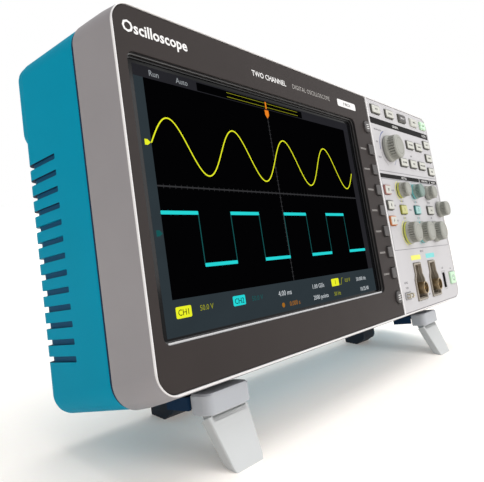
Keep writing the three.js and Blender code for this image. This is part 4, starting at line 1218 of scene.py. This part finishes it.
def finish_cad_nodes():
    looks = {"screen_glass": GLASS, "lcd_module": LCD_CASE, "front_panel_board": BOARD, "chassis": ZINC,
             "power_supply": LAMINATE}
    for name, material in looks.items():
        mesh = frame["nodes"][name].data
        mesh.materials.clear()
        mesh.materials.append(material)


# ---------- stage ----------


def table():
    """The floor the instrument stands on."""
    bm = bmesh.new()
    bmesh.ops.create_grid(bm, x_segments=1, y_segments=1, size=40)
    mesh = bpy.data.meshes.new("floor")
    bm.to_mesh(mesh)
    white = surface("floor_white", srgb(238, 234, 229), 0.6, 3, 0.0, 0.004, Specular_IOR_Level=0.2,
                    Emission_Color=(1, 0.9, 0.82, 1), Emission_Strength=0.17)
    mesh.materials.append(white)
    floor = placed("floor", mesh)


def studio():
    """Light from all round, brighter from the right front; the camera sees plain white."""
    world = bpy.data.worlds.new("studio")
    world.use_nodes = True
    tree = world.node_tree
    background = tree.nodes["Background"]
    toward = tree.nodes.new("ShaderNodeVectorMath")
    toward.operation = "DOT_PRODUCT"
    toward.inputs[1].default_value = Vector((0.5, -0.75, 0.45)).normalized()
    tree.links.new(node(tree, "TexCoord")["Generated"], toward.inputs[0])
    sky = node(tree, "MapRange", Value=toward.outputs["Value"], From_Min=-1, To_Min=0.28, To_Max=1.1)
    camera_ray = node(tree, "LightPath")["Is Camera Ray"]
    seen = node(tree, "Mix", Factor=camera_ray, A=sky["Result"], B=1.0)
    tone = node(tree, "Mix", COLOR_MIX, Factor=camera_ray, A=(1, 0.99, 0.985, 1), B=(1, 1, 1, 1))
    tree.links.new(seen["Result"], background.inputs["Strength"])
    tree.links.new(tone["Result"], background.inputs["Color"])
    bpy.context.scene.world = world


def lights():
    """A soft sun from above, and a small lamp at the right front."""
    overhead = bpy.data.lights.new("overhead", "SUN")
    overhead.energy = 1.9
    overhead.angle = 0.9
    placed("overhead", overhead).rotation_euler = (math.radians(-8), math.radians(16), 0)

    key = bpy.data.lights.new("key", "AREA")
    key.size = 0.8
    key.energy = 7
    lamp = placed("key", key)
    lamp.location = (0.7, -1.3, 0.75)
    lamp.rotation_euler = (Vector((0, 0, 0.1)) - lamp.location).to_track_quat("-Z", "Y").to_euler()


def camera():
    """The view from near the left front corner, just above the table."""
    lens = bpy.data.cameras.new("camera")
    lens.sensor_width = 36
    lens.lens = 38.17
    lens.shift_x = 0.068
    lens.shift_y = -0.0381
    lens.clip_start = 0.01
    turn = Matrix.Identity(4)
    for angle, axis in ((-47.66, "Z"), (90 - 1.34, "X"), (1.0, "Z")):
        turn = turn @ Matrix.Rotation(math.radians(angle), 4, axis)
    holder = placed("camera", lens)
    holder.matrix_world = Matrix.Translation((-0.3179, -0.2018, 0.1158)) @ turn
    bpy.context.scene.camera = holder


front_housing()
bezel()
window()
panel()
bezel_print()
panel_print()
picture_background()
picture_traces()
for key_name in BEZEL_KEYS:
    (soft_key if key_name.startswith("soft") else menu_key)(key_name)
for key_name in PANEL_KEYS:
    panel_key(key_name)
for knob_name in KNOBS:
    knob(knob_name)
for number in (1, 2):
    probe_well(number)
    bnc_jack(number)
usb_host()
comp_terminal()
rear_cover()
seam_gasket()
rear_screws()
mains_inlet()
main_board()
for word, direction in (("left", -1), ("right", 1)):
    vent_shade_screen(word, direction)
    front_foot(f"front_foot_{word}", direction)
    foot_hood(f"front_foot_mount_{word}", direction)
    rear_foot(f"rear_foot_{word}", direction)
finish_cad_nodes()
bpy.context.scene.view_settings.view_transform = "Standard"
table()
studio()
lights()
camera()
